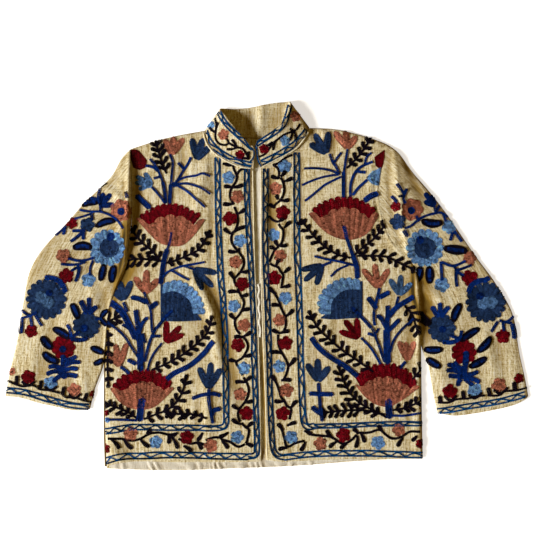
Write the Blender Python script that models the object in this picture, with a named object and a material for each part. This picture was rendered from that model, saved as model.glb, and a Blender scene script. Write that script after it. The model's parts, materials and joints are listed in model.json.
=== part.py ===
"""A suzani jacket laid out flat on its back, each cut piece a closed wall of cloth.

X runs to the wearer's left, Y from the hem to the collar and Z up from the surface
that the jacket lies on. The origin is on that surface, under the middle of the jacket.
"""

import math

import bmesh
import bpy
import numpy as np

# Every size and table below is in millimetres, and the model is in metres.
MM = 0.001

# A length, or a share of one, that is too small to matter
TINY = 0.001

# The middle of the outlines below, which is moved onto the origin
MIDDLE = (-2.0, -0.5)

# Walls, and the gap that is left at every seam
CLOTH_WALL = 1.5
COLLAR_WALL = 1.8
LINING_WALL = 1.0
SEAM = 0.3

# Levels of the outer faces, from the surface up
BACK_TOP = CLOTH_WALL
RIM_LEVEL = BACK_TOP + 1.0
LINING_TOP = BACK_TOP + SEAM + LINING_WALL
FRONT_LEVEL = 8.0
SLEEVE_LEVEL = 8.5
CUFF_LEVEL = 6.8
EDGE_DROP = 1.7

# How far from an edge the cloth has risen to its level
SIDE_ROLL = 12.0
SHOULDER_ROLL = 10.0
ARM_ROLL = 18.0
EDGE_ROLL = 8.0

# Grid lines of the panels: distances from a rolled edge and from a free one
ROLLED_STEPS = (0.0, 1.2, 4.0, 9.0)
FREE_STEPS = (0.0, 3.0, 8.0)
UNDER_STEPS = (0.0, 1.2, 4.0)
UNDER_LEVELS = (RIM_LEVEL, 0.45, 0.0)
FRONT_COLUMNS = 19
SIDE_ROWS = 13
SLEEVE_ROWS = 21
BACK_CELLS = (4, 10, 5)
LINING_CELLS = 13
COLLAR_CELLS = 4
SLEEVE_FADE = 6
UNDERARM_EASE = 1.6
COLLAR_STEPS_A_ROW = 2

# Shares of a panel's edges that are neck, and side seam below the armpit
FRONT_NECK_SHARE = 0.36
BACK_NECK_SHARES = (0.28, 0.66)
SIDE_SHARE = 0.58

# The nominal front, side seam and armhole, whose grid lines the pieces along them have in common
FRONT_WIDTH = 280.0
SIDE_LENGTH = 370.0
ARMHOLE_LENGTH = 220.0
ARMHOLE_TOP_CELLS = 8
ARMHOLE_UNDER_CELLS = 5

# Room between the collar and the neck edges, and how far the lining is set in from the back
COLLAR_INSET = 1.5
LINING_SIDE_INSET = 4.5
LINING_HEM_INSET = 2.5
LINING_NECK_INSET = 24.0

# Outlines, each row (x, y); a seam runs from its lower end up, a hem or cuff from its first corner
FRONT_EDGE_RIGHT = [(-12, -315), (-13, -205), (-17, -97), (-22, -25), (-23, 65), (-27, 155), (-29, 209)]
FRONT_EDGE_LEFT = [(-5, -312), (-8, -205), (-11, -97), (-13, 29), (-13, 101), (-13, 155), (-13, 212)]
HEM_RIGHT = [(-12, -315), (-86, -316), (-171, -316), (-254, -316), (-275, -319), (-290, -324)]
HEM_LEFT = [(-5, -312), (16, -315), (58, -314), (130, -311), (184, -310), (238, -310), (278, -309)]
HEM_BACK = [(-290, -328), (-212, -331), (-140, -331), (-68, -328), (16, -325), (97, -320), (157, -315),
            (238, -311), (278, -311)]
SIDE_RIGHT = [(-290, -324), (-293, -277), (-293, -205), (-293, -124), (-290, -61), (-284, -30), (-271, 2),
              (-256, 41)]
SIDE_LEFT = [(278, -309), (277, -259), (275, -205), (275, -115), (275, -61), (273, -14), (271, 11), (267, 31),
             (260, 41)]
ARMHOLE_RIGHT = [(-256, 41), (-252, 65), (-247, 92), (-244, 128), (-244, 173), (-245, 209), (-247, 246)]
ARMHOLE_LEFT = [(260, 41), (247, 52), (233, 66), (219, 84), (208, 109), (201, 137), (198, 173), (202, 202),
                (207, 227), (211, 256)]
SHOULDER_RIGHT = [(-113, 279), (-149, 273), (-193, 263), (-220, 255), (-247, 246)]
SHOULDER_LEFT = [(74, 284), (103, 283), (131, 280), (153, 275), (175, 269), (196, 262), (211, 256)]
OVERARM_RIGHT = [(-262, 235), (-275, 205), (-302, 176), (-333, 148), (-356, 119), (-385, 90), (-410, 61),
                 (-427, 32), (-439, -25), (-448, -83), (-454, -112), (-461, -140), (-472, -198)]
OVERARM_LEFT = [(229, 248), (243, 229), (259, 205), (272, 191), (297, 162), (319, 133), (358, 76), (378, 47),
                (401, 18), (419, -11), (437, -40), (445, -68), (448, -97), (453, -126), (460, -155),
                (468, -198)]
UNDERARM_RIGHT = [(-274, 2), (-287, -30), (-293, -61), (-295.5, -105), (-299, -131), (-305, -158),
                  (-312, -190), (-320, -221)]
UNDERARM_LEFT = [(270, 32), (274, 11), (275.5, -14), (277.5, -61), (278.5, -105), (283, -126), (291, -155),
                 (296, -190), (304, -227)]
CUFF_RIGHT = [(-472, -198), (-452, -199), (-430, -204), (-409, -211), (-387, -215), (-365, -220),
              (-344, -224), (-320, -221)]
CUFF_LEFT = [(468, -198), (455, -209), (434, -216), (412, -221), (391, -225), (369, -229), (347, -232),
             (326, -233), (304, -227)]

# The collar from the right front round the back to the left front, each row
# (neck seam x, y, level, top edge x, y, level), with the levels in the middle of the wall
COLLAR = [
    (-29, 209, 8.5, -27, 247, 17),
    (-45, 214, 9.5, -40, 258, 22),
    (-65, 223, 10, -50, 270, 26),
    (-83, 232, 10, -60, 283, 28),
    (-99, 245, 10, -71, 296, 28),
    (-109, 262, 9, -80, 309, 23),
    (-113, 279, 4.5, -86, 317, 12),
    (-104, 276, 1.6, -79, 319, 4),
    (-83, 272, 1.3, -63, 318, 2.5),
    (-50, 268, 1.3, -41, 319, 4),
    (-20, 267, 1.3, -18, 323, 2.5),
    (13, 268, 1.3, 7, 328, 4.5),
    (42, 274, 1.3, 27, 330, 3),
    (63, 280, 1.6, 37, 330, 5),
    (74, 284, 4.5, 40, 328, 12),
    (69, 271, 9, 37, 315, 22),
    (54, 254, 10, 31, 297, 27),
    (40, 241, 10, 21, 284, 28),
    (22, 231, 10, 5, 274, 25),
    (4, 221, 9.5, -11, 265, 20),
    (-13, 212, 8.5, -22, 251, 15),
]
RIGHT_NECK_POINT = 6
LEFT_NECK_POINT = 14

# The largest folds of a front and its sleeve: (height, half width, points that the fold runs through)
FOLDS_RIGHT = [
    (-3.2, 13, [(-235, 232), (-235, 140), (-238, 60)]),
    (5.0, 13, [(-255, 228), (-259, 150), (-264, 60)]),
    (-3.2, 13, [(-131, 25), (-104, -7), (-83, -47), (-72, -115), (-59, -169), (-41, -227)]),
    (3.5, 14, [(-150, 20), (-120, -13), (-100, -52), (-90, -115)]),
    (2.5, 12, [(-110, 236), (-117, 200), (-128, 146)]),
    (2.0, 15, [(-110, -151), (-112, -230), (-110, -304)]),
    (3.5, 14, [(-268, -250), (-272, -285), (-284, -313)]),
    (3.0, 12, [(-292, 178), (-275, 172), (-262, 150)]),
    (-3.0, 14, [(-340, 90), (-320, 40), (-312, -10)]),
    (2.5, 15, [(-380, 20), (-365, -40), (-350, -110)]),
    (2.0, 14, [(-329, -140), (-331, -196)]),
    (-2.5, 14, [(-400, -60), (-405, -120), (-420, -185)]),
]
FOLDS_LEFT = [
    (6.0, 12, [(229, 238), (234, 160), (246, 96), (266, 52)]),
    (-3.2, 12, [(213, 225), (210, 150), (228, 92)]),
    (-3.2, 12, [(7, 191), (8, 130), (9, 74)]),
    (2.0, 12, [(29, 191), (29, 130), (29, 74)]),
    (-2.5, 11, [(87, 280), (85, 262), (82, 240)]),
    (-2.0, 11, [(117, 278), (117, 262), (117, 240)]),
    (2.0, 14, [(258, -60), (260, -150), (262, -290)]),
    (2.5, 16, [(120, 40), (110, -60), (118, -180)]),
    (3.0, 12, [(284, 6), (300, -10), (322, -28)]),
    (-3.2, 14, [(296, -24), (296, -60), (298, -106)]),
    (2.5, 14, [(256, 187), (283, 155)]),
    (-2.5, 15, [(360, 40), (370, -30), (362, -90)]),
    (2.5, 14, [(440, -110), (444, -160)]),
]
FOLD_SAMPLES = 24

# Edges of the walls that turn by more than this are shaded as sharp
SHARP_ANGLE = math.radians(50)

# Base colour, roughness and metallic of each material
CREAM_COTTON = ((0.66, 0.55, 0.33), 0.9, 0.0)
WHITE_COTTON = ((0.76, 0.75, 0.68), 0.85, 0.0)


def smooth_curve(rows, stations, at):
    """Points of the smooth curve that reaches each row at that row's station."""
    rows = np.asarray(rows, float)
    stations = np.asarray(stations, float)
    at = np.clip(np.asarray(at, float), stations[0], stations[-1])
    low = np.clip(np.searchsorted(stations, at, side="right") - 1, 0, len(rows) - 2)
    step = (stations[low + 1] - stations[low])[:, None]
    part = (at - stations[low])[:, None] / step
    slope = np.gradient(rows, stations, axis=0)
    return (
        rows[low] * (1 + 2 * part) * (1 - part) ** 2
        + rows[low + 1] * part**2 * (3 - 2 * part)
        + slope[low] * step * part * (1 - part) ** 2
        - slope[low + 1] * step * part**2 * (1 - part)
    )


def edge(rows):
    """The smooth edge through the rows, as a function from shares of its length to points."""
    lengths = np.linalg.norm(np.diff(np.asarray(rows, float), axis=0), axis=1)
    stations = np.concatenate([[0.0], np.cumsum(lengths)])
    return lambda shares: smooth_curve(rows, stations, np.asarray(shares) * stations[-1])


def neck_edge(first, last):
    """The neck seam from one row of the collar's table to another, as a function of shares."""
    seam = [row[:3] for row in COLLAR]
    stations = np.arange(len(seam))
    return lambda shares: smooth_curve(seam, stations, first + (last - first) * np.asarray(shares))


def in_plan(line):
    """A three-dimensional edge seen from above."""
    return lambda shares: line(shares)[:, :2]


def joined(first, second, corner):
    """Two edges, one after the other, that meet at the corner's share."""

    def points(shares):
        before = first(np.clip(shares / corner, 0, 1))
        after = second(np.clip((shares - corner) / (1 - corner), 0, 1))
        return np.where(shares[:, None] <= corner, before, after)

    return points


def set_off(line, distance):
    """An edge moved sideways, to its left for a positive distance."""

    def points(shares):
        ahead = line(np.clip(shares + TINY, 0, 1)) - line(np.clip(shares - TINY, 0, 1))
        ahead /= np.linalg.norm(ahead, axis=1)[:, None]
        return line(shares) + distance * np.column_stack([-ahead[:, 1], ahead[:, 0]])

    return points


def bow(line, shares):
    """How far an edge stands off the straight line between its ends."""
    first, last = line(np.array([0.0, 1.0]))
    return line(shares) - first - (last - first) * shares[:, None]


def patch(bottom, top, start, end, across, along, fade=1):
    """Rows of points between four edges: straight rows that take up the bow of the nearest edge."""
    u = across[None, :, None]
    v = along[:, None, None]
    straight = (1 - u) * start(along)[:, None] + u * end(along)[:, None]
    return straight + (1 - v) ** fade * bow(bottom, across) + v**fade * bow(top, across)


def shares_of(length, first_steps, cells, last_steps):
    """Grid lines as shares of a length: fine steps from either end, and even cells between them."""
    first = np.array(first_steps) / length
    last = 1 - np.array(last_steps[::-1]) / length
    return np.concatenate([first[:-1], np.linspace(first[-1], last[0], cells + 1), last[1:]])


def through(shares, corner):
    """Grid lines with the nearest one moved onto a corner."""
    shares = shares.copy()
    shares[np.argmin(np.abs(shares - corner))] = corner
    return shares


def runs(points):
    """The distance of each point from the start and from the end of its row."""
    steps = np.linalg.norm(np.diff(points, axis=1), axis=2)
    start = np.concatenate([np.zeros((len(points), 1)), np.cumsum(steps, axis=1)], axis=1)
    return start, start[:, -1:] - start


def roll(distance, reach):
    """How far cloth has risen, from 0 to 1, at a distance from the edge that it rolls over."""
    return np.sqrt(1 - (1 - np.clip(distance / reach, 0, 1)) ** 2)


def fold_height(plan, folds):
    """The height that the folds add at each point; a fold fades out at both its ends."""
    height = np.zeros(plan.shape[:-1])
    shares = np.linspace(0, 1, FOLD_SAMPLES)
    strength = np.sqrt(np.sin(np.pi * shares).clip(0))
    for rise, half_width, rows in folds:
        line = edge(rows)(shares)
        gaps = np.linalg.norm(plan[..., None, :] - line, axis=-1)
        height += rise * strength[gaps.argmin(axis=-1)] * np.exp(-((gaps.min(axis=-1) / half_width) ** 2))
    return height


def armhole_level(plan, folds):
    """The level of the seam between a front and its sleeve, which falls to the rim at both its ends."""
    from_armpit, from_tip = (run[0] for run in runs(plan[None]))
    risen = roll(from_armpit, ARM_ROLL) * roll(from_tip, ARM_ROLL)
    return RIM_LEVEL + (SLEEVE_LEVEL + fold_height(plan, folds) - RIM_LEVEL) * risen


ARMHOLE_TOP_SHARES = shares_of(ARMHOLE_LENGTH, ROLLED_STEPS, ARMHOLE_TOP_CELLS, ROLLED_STEPS)
ARMHOLE_UNDER_SHARES = shares_of(ARMHOLE_LENGTH, UNDER_STEPS, ARMHOLE_UNDER_CELLS, UNDER_STEPS)
FRONT_ACROSS = through(shares_of(FRONT_WIDTH, FREE_STEPS, FRONT_COLUMNS, ROLLED_STEPS), FRONT_NECK_SHARE)


def up_the_side(armhole_shares):
    """Grid lines along a panel's outer edge: the side seam, then the armhole."""
    below = shares_of(SIDE_LENGTH, FREE_STEPS, SIDE_ROWS, (0.0,))[:-1]
    return np.concatenate([SIDE_SHARE * below, SIDE_SHARE + (1 - SIDE_SHARE) * armhole_shares])


def front_points(front_edge, hem, side, armhole, shoulder, neck, folds):
    """The outer face of a front: it lies over the back and rolls down to it at the side and shoulder."""
    across = FRONT_ACROSS
    along = up_the_side(ARMHOLE_TOP_SHARES)
    top = joined(in_plan(neck), edge(shoulder), FRONT_NECK_SHARE)
    outer = joined(edge(side), edge(armhole), SIDE_SHARE)
    plan = patch(edge(hem), top, edge(front_edge), outer, across, along)

    from_opening, from_side = runs(plan)
    from_hem, from_top = (run.T for run in runs(plan.transpose(1, 0, 2)))
    free_edges = 2 - roll(from_opening, EDGE_ROLL) - roll(from_hem, EDGE_ROLL)
    level = FRONT_LEVEL + fold_height(plan, folds) - EDGE_DROP * free_edges
    side_level = np.full(len(along), RIM_LEVEL)
    at_armhole = along >= SIDE_SHARE
    side_level[at_armhole] = armhole_level(plan[at_armhole, -1], folds)
    neck_level = neck(np.clip(across / FRONT_NECK_SHARE, 0, 1))[:, 2] + CLOTH_WALL / 2
    top_level = np.where(across <= FRONT_NECK_SHARE, neck_level, RIM_LEVEL)
    side_pull = 1 / (from_side + TINY)
    top_pull = 1 / (from_top + TINY)
    rim = (side_level[:, None] * side_pull + top_level[None, :] * top_pull) / (side_pull + top_pull)
    risen = roll(from_side, SIDE_ROLL) * roll(from_top, SHOULDER_ROLL)
    return np.dstack([plan, rim + (level - rim) * risen])


def back_plan(across, along):
    """The back's outline filled in, from hem to neck and from the right side to the left."""
    first, second = BACK_NECK_SHARES
    right_half = joined(
        edge(SHOULDER_RIGHT[::-1]), in_plan(neck_edge(RIGHT_NECK_POINT, LEFT_NECK_POINT)), first / second
    )
    top = joined(right_half, edge(SHOULDER_LEFT), second)
    right = joined(edge([HEM_BACK[0], *SIDE_RIGHT[1:]]), edge(ARMHOLE_RIGHT), SIDE_SHARE)
    left = joined(edge([HEM_BACK[-1], *SIDE_LEFT[1:]]), edge(ARMHOLE_LEFT), SIDE_SHARE)
    return patch(edge(HEM_BACK), top, right, left, across, along)


def back_points():
    """The back's upper face, flat on the surface."""
    corners = (0, *BACK_NECK_SHARES, 1)
    stretches = [np.linspace(*corners[n : n + 2], cells + 1)[1:] for n, cells in enumerate(BACK_CELLS)]
    across = np.concatenate([[0.0], *stretches])
    plan = back_plan(across, up_the_side(ARMHOLE_UNDER_SHARES))
    return np.dstack([plan, np.full(plan.shape[:2], BACK_TOP)])


def lining_points():
    """The upper face of the back's lining, set in from the back's edges and lying on it."""
    width = HEM_BACK[-1][0] - HEM_BACK[0][0]
    length = COLLAR[RIGHT_NECK_POINT][1] - HEM_BACK[0][1]
    side = LINING_SIDE_INSET / width
    across = np.linspace(side, 1 - side, LINING_CELLS + 1)
    along = np.linspace(LINING_HEM_INSET / length, 1 - LINING_NECK_INSET / length, LINING_CELLS + 1)
    plan = back_plan(across, along)
    return np.dstack([plan, np.full(plan.shape[:2], LINING_TOP)])


def sleeve_points(armhole, overarm, underarm, cuff, folds, seam_offset):
    """A sleeve's outer face: a flattened tube, each row of points going round it once."""
    seam = set_off(edge(armhole), seam_offset)
    tip, armpit = seam(np.array([1.0]))[0], seam(np.array([0.0]))[0]
    along = np.linspace(0, 1, SLEEVE_ROWS + 1)

    def plan_at(across):
        over, under = edge([tip, *overarm]), edge([armpit, *underarm])
        return patch(
            lambda shares: seam(1 - shares), edge(cuff), over, lambda shares: under(shares**UNDERARM_EASE),
            across, along, SLEEVE_FADE,
        )

    top = plan_at(ARMHOLE_TOP_SHARES)
    from_over, from_under = runs(top)
    level = SLEEVE_LEVEL + (CUFF_LEVEL - SLEEVE_LEVEL) * along[:, None] + fold_height(top, folds)
    risen = roll(from_over, ARM_ROLL) * roll(from_under, ARM_ROLL)
    upper = np.dstack([top, RIM_LEVEL + (level - RIM_LEVEL) * risen])

    under = plan_at(ARMHOLE_UNDER_SHARES)
    inner = len(ARMHOLE_UNDER_SHARES) - 2 * len(UNDER_LEVELS)
    levels = np.array([*UNDER_LEVELS, *np.zeros(inner), *UNDER_LEVELS[::-1]])
    lower = np.dstack([under, np.broadcast_to(levels, under.shape[:2])])
    return np.concatenate([upper, lower[:, -2::-1]], axis=1)


def collar_points():
    """The collar's outer face, in rows from the neck seam to the top edge."""
    count = (len(COLLAR) - 1) * COLLAR_STEPS_A_ROW + 1
    numbers = np.arange(len(COLLAR))
    line = smooth_curve(COLLAR, numbers, np.linspace(0, numbers[-1], count))
    seam, top = line[:, :3], line[:, 3:]
    rise = top - seam
    seam = seam + rise * (COLLAR_INSET / np.linalg.norm(rise, axis=1))[:, None]
    height = np.linspace(0, 1, COLLAR_CELLS + 1)[:, None, None]
    points = seam + (top - seam) * height
    return points + COLLAR_WALL / 2 * outward(points, tube=False)


def outward(points, tube):
    """The direction out of the cloth at every point of a piece's face."""
    if tube:
        round_once = points[:, :-1]
        around = np.roll(round_once, -1, axis=1) - np.roll(round_once, 1, axis=1)
        around = np.concatenate([around, around[:, :1]], axis=1)
    else:
        around = np.gradient(points, axis=1)
    normals = np.cross(around, np.gradient(points, axis=0))
    normals /= np.linalg.norm(normals, axis=2)[..., None]
    highest = np.unravel_index(points[..., 2].argmax(), points.shape[:2])
    return normals * np.sign(normals[highest][2])


def without(directions, across):
    """Directions with what they have of another direction taken out, unit length again."""
    left = directions - np.sum(directions * across, axis=-1, keepdims=True) * across
    return left / np.linalg.norm(left, axis=-1, keepdims=True)


def across_seam(line):
    """The level direction square to a seam at each of its points."""
    run = np.gradient(line, axis=0)
    side = np.column_stack([-run[:, 1], run[:, 0], np.zeros(len(run))])
    length = np.linalg.norm(side, axis=1)
    steep = length < TINY
    side[steep] = np.roll(side, 1, axis=0)[steep]
    return side / np.linalg.norm(side, axis=1)[:, None]


def wall_directions(points, tube, seams, rims):
    """Directions through the wall: its ends stand upright at a seam, and lie level on a rim."""
    directions = outward(points, tube)
    for border in seams:
        directions[border] = without(directions[border], across_seam(points[border]))
    for border in rims:
        directions[border] = without(directions[border], np.array([0.0, 0.0, 1.0]))
    return directions


def grid_mesh(name, outer, inner, tube):
    """A grid primitive shaped to the outer face, and extruded to the inner one."""
    rows, columns = outer.shape[:2]
    middle = np.array([*MIDDLE, 0.0])
    bm = bmesh.new()
    bmesh.ops.create_grid(bm, x_segments=columns - 1, y_segments=rows - 1, size=1)
    place = bm.verts.layers.int.new("place")
    for vert in bm.verts:
        column = round((vert.co.x + 1) / 2 * (columns - 1))
        row = round((vert.co.y + 1) / 2 * (rows - 1))
        vert[place] = row * columns + column
        vert.co = (outer[row, column] - middle) * MM
    if tube:
        bmesh.ops.remove_doubles(bm, verts=bm.verts[:], dist=1e-6)
    wall = bmesh.ops.extrude_face_region(bm, geom=bm.faces[:], use_keep_orig=True)
    for vert in wall["geom"]:
        if isinstance(vert, bmesh.types.BMVert):
            vert.co = (inner[divmod(vert[place], columns)] - middle) * MM
    bmesh.ops.recalc_face_normals(bm, faces=bm.faces[:])
    mesh = bpy.data.meshes.new(name)
    bm.to_mesh(mesh)
    bm.free()
    mesh.shade_smooth()
    mesh.set_sharp_from_angle(angle=SHARP_ANGLE)
    return mesh


def cloth_piece(name, points, finish, wall=CLOTH_WALL, tube=False, seams=(), rims=()):
    """One cut piece: its outer face and the wall that the face gets."""
    directions = wall_directions(points, tube, seams, rims)
    mesh = grid_mesh(name, points, points - wall * directions, tube)
    mesh.materials.append(make_material(name, finish))
    bpy.context.scene.collection.objects.link(bpy.data.objects.new(name, mesh))


def make_material(name, finish):
    """A material of one base colour, roughness and metallic value."""
    colour, roughness, metallic = finish
    material = bpy.data.materials.new(name)
    material.use_nodes = True
    shader = material.node_tree.nodes["Principled BSDF"]
    shader.inputs["Base Color"].default_value = (*colour, 1)
    shader.inputs["Roughness"].default_value = roughness
    shader.inputs["Metallic"].default_value = metallic
    return material


def make_fronts():
    """The two front panels, which meet edge to edge at the opening."""
    right_neck = neck_edge(0, RIGHT_NECK_POINT)
    left_neck = neck_edge(len(COLLAR) - 1, LEFT_NECK_POINT)
    right = front_points(
        FRONT_EDGE_RIGHT, HEM_RIGHT, SIDE_RIGHT, ARMHOLE_RIGHT, SHOULDER_RIGHT, right_neck, FOLDS_RIGHT
    )
    left = front_points(
        FRONT_EDGE_LEFT, HEM_LEFT, SIDE_LEFT, ARMHOLE_LEFT, SHOULDER_LEFT, left_neck, FOLDS_LEFT
    )
    armpit = len(right) - len(ARMHOLE_TOP_SHARES)
    neck_point = int(np.argmin(np.abs(FRONT_ACROSS - FRONT_NECK_SHARE)))
    seams = [np.s_[armpit:, -1], np.s_[-1, : neck_point + 1]]
    rims = [np.s_[: armpit + 1, -1], np.s_[-1, neck_point:]]
    cloth_piece("front_right", right, CREAM_COTTON, seams=seams, rims=rims)
    cloth_piece("front_left", left, CREAM_COTTON, seams=seams, rims=rims)


def make_back_and_lining():
    """The back, and the lining that lies on it inside."""
    cloth_piece("back", back_points(), CREAM_COTTON)
    cloth_piece("lining_back", lining_points(), WHITE_COTTON, wall=LINING_WALL)


def make_sleeves():
    """The two sleeves, each a tube that lies flattened beside the body."""
    right = sleeve_points(ARMHOLE_RIGHT, OVERARM_RIGHT, UNDERARM_RIGHT, CUFF_RIGHT, FOLDS_RIGHT, SEAM)
    left = sleeve_points(ARMHOLE_LEFT, OVERARM_LEFT, UNDERARM_LEFT, CUFF_LEFT, FOLDS_LEFT, -SEAM)
    cloth_piece("sleeve_right", right, CREAM_COTTON, tube=True, seams=[np.s_[0, :]])
    cloth_piece("sleeve_left", left, CREAM_COTTON, tube=True, seams=[np.s_[0, :]])


def make_collar():
    """The standing band, which wraps the neck from one front edge to the other."""
    cloth_piece("collar", collar_points(), CREAM_COTTON, wall=COLLAR_WALL, seams=[np.s_[0, :]])


def main():
    for old in list(bpy.data.objects):
        bpy.data.objects.remove(old)
    make_back_and_lining()
    make_fronts()
    make_sleeves()
    make_collar()


main()
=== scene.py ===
"""Dresses the suzani jacket: slubby cotton over its solids, chain-stitch embroidery, and the stage.

X runs to the wearer's left, Y from the hem to the collar and Z up from the surface that the
jacket lies on, in metres. The embroidery is placed on a drawing grid laid over the jacket as
it lies: columns are counted to the right and rows downwards, and a square is SQUARE wide.
Values and tables come first, then the functions that use them, in the same order.
"""

import json
import math

import bmesh
import bpy
import numpy as np
from bpy.props import FloatProperty, FloatVectorProperty, PointerProperty
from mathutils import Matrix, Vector, noise
from mathutils.bvhtree import BVHTree

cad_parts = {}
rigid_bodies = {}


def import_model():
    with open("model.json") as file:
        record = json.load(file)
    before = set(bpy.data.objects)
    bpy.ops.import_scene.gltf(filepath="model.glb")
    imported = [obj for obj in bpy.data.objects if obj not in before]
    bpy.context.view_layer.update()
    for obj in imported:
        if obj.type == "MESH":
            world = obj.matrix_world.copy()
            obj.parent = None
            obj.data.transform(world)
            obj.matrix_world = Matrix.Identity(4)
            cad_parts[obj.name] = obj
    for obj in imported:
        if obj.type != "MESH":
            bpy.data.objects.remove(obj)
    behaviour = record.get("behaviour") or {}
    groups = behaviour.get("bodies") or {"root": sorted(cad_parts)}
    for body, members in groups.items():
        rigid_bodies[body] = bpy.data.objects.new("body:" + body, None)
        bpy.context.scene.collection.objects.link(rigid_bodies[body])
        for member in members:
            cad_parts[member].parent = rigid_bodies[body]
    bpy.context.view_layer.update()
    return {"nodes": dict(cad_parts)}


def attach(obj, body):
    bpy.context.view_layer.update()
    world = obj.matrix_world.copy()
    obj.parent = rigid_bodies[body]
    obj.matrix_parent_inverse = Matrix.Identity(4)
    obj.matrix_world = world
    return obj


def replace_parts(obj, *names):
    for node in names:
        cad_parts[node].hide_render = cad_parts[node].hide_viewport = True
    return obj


bl_info = {
    "name": "Suzani jacket",
    "version": (1, 0, 0),
    "blender": (4, 5, 0),
    "location": "3D View > Sidebar > Jacket",
    "description": "Cloth, embroidery and stage of a suzani jacket laid out flat",
    "category": "Object",
}

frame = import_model()

MM = 0.001

# The drawing grid: the size of a square, and the square that lies on the jacket's origin
SQUARE = 1.8 * MM
ORIGIN_SQUARE = (266.9, 286.3)

# Cloth panels

# Node: finish, cut size and area of the cut in metres, and what the panel lies on
PANELS = {
    "back": ("cotton", (0.60, 0.63), 0.315, ["floor"]),
    "lining_back": ("lining", (0.58, 0.60), 0.297, ["back_cloth"]),
    "front_right": ("cotton", (0.30, 0.61), 0.148, ["lining_back_cloth"]),
    "front_left": ("cotton", (0.30, 0.61), 0.154, ["lining_back_cloth"]),
    "sleeve_right": ("cotton", (0.44, 0.49), 0.118, ["back_cloth"]),
    "sleeve_left": ("cotton", (0.44, 0.51), 0.126, ["back_cloth"]),
    "collar": ("cotton", (0.44, 0.055), 0.0198, ["back_cloth", "front_right_cloth", "front_left_cloth"]),
}

# Finish: name of its material, setting that holds its colour, and strength of its slubs
FINISHES = {
    "cotton": ("cream_cotton", "cloth_colour", 1.0),
    "cord": ("cream_cord", "cord_colour", 0.4),
    "lining": ("white_lining", "lining_colour", 0.25),
}

# How far a solid is subdivided, how near its doubled vertices lie, and how flat two triangles and how
# square their corners have to be to become one face
PANEL_LEVELS = 2
DOUBLES_REACH = 0.01 * MM
FLAT_TURN = math.radians(40)
SQUARE_TURN = math.radians(50)

# Edges of a panel's wall, which turn by more than this, keep their place when the panel is refined
RIM_TURN = math.radians(50)
RIM_CREASE = 0.85

# Centre lines of the sleeves, along which their cloth's grain runs, and its stretch across and along them
GRAIN_LINES = {
    "sleeve_right": [(127, 190), (100, 215), (72, 260), (60, 300), (53, 350), (46, 400)],
    "sleeve_left": [(392, 190), (425, 215), (455, 262), (470, 300), (476, 350), (484, 400)],
}
GRAIN_STRETCH = (0.9, 1.1)

# Folds of the cloth

# Level above which a panel's cloth follows the creases, and how far above it does so fully
CREASE_FLOOR = 2.6 * MM
CREASE_RISE = 3.0 * MM

# How low a crease may take the upper and the under side of a panel, and the least that it may sink
LOWEST_TOP = 4.6 * MM
LOWEST_UNDERSIDE = 3.1 * MM
LEAST_ROOM = 0.2 * MM

# A crease's points, how many half widths it is felt from, and how it begins and fades at its ends
CREASE_SAMPLES = 24
CREASE_REACH = 3
CREASE_START = 0.04
CREASE_FADE = 0.7

# Unevenness of stitched cloth: waves a metre across and along, layer of the random pattern, and share
RIPPLES = [
    ((28, 16), 0.3, 1.6),
    ((95, 60), 4.1, 0.6),
]

# Rounds of smoothing between which the cloth's level tells how hollow it lies, and the painted shade of a
# full hollow
HOLLOW_ROUNDS = (40, 3)
HOLLOW_SHADE = 0.8

# Folds up to this half width in mm need finer faces: how far beside them, and in how many cuts of an edge
FINE_FOLD = 6
FINE_REACH = 11 * MM
FINE_CUTS = 1

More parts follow.
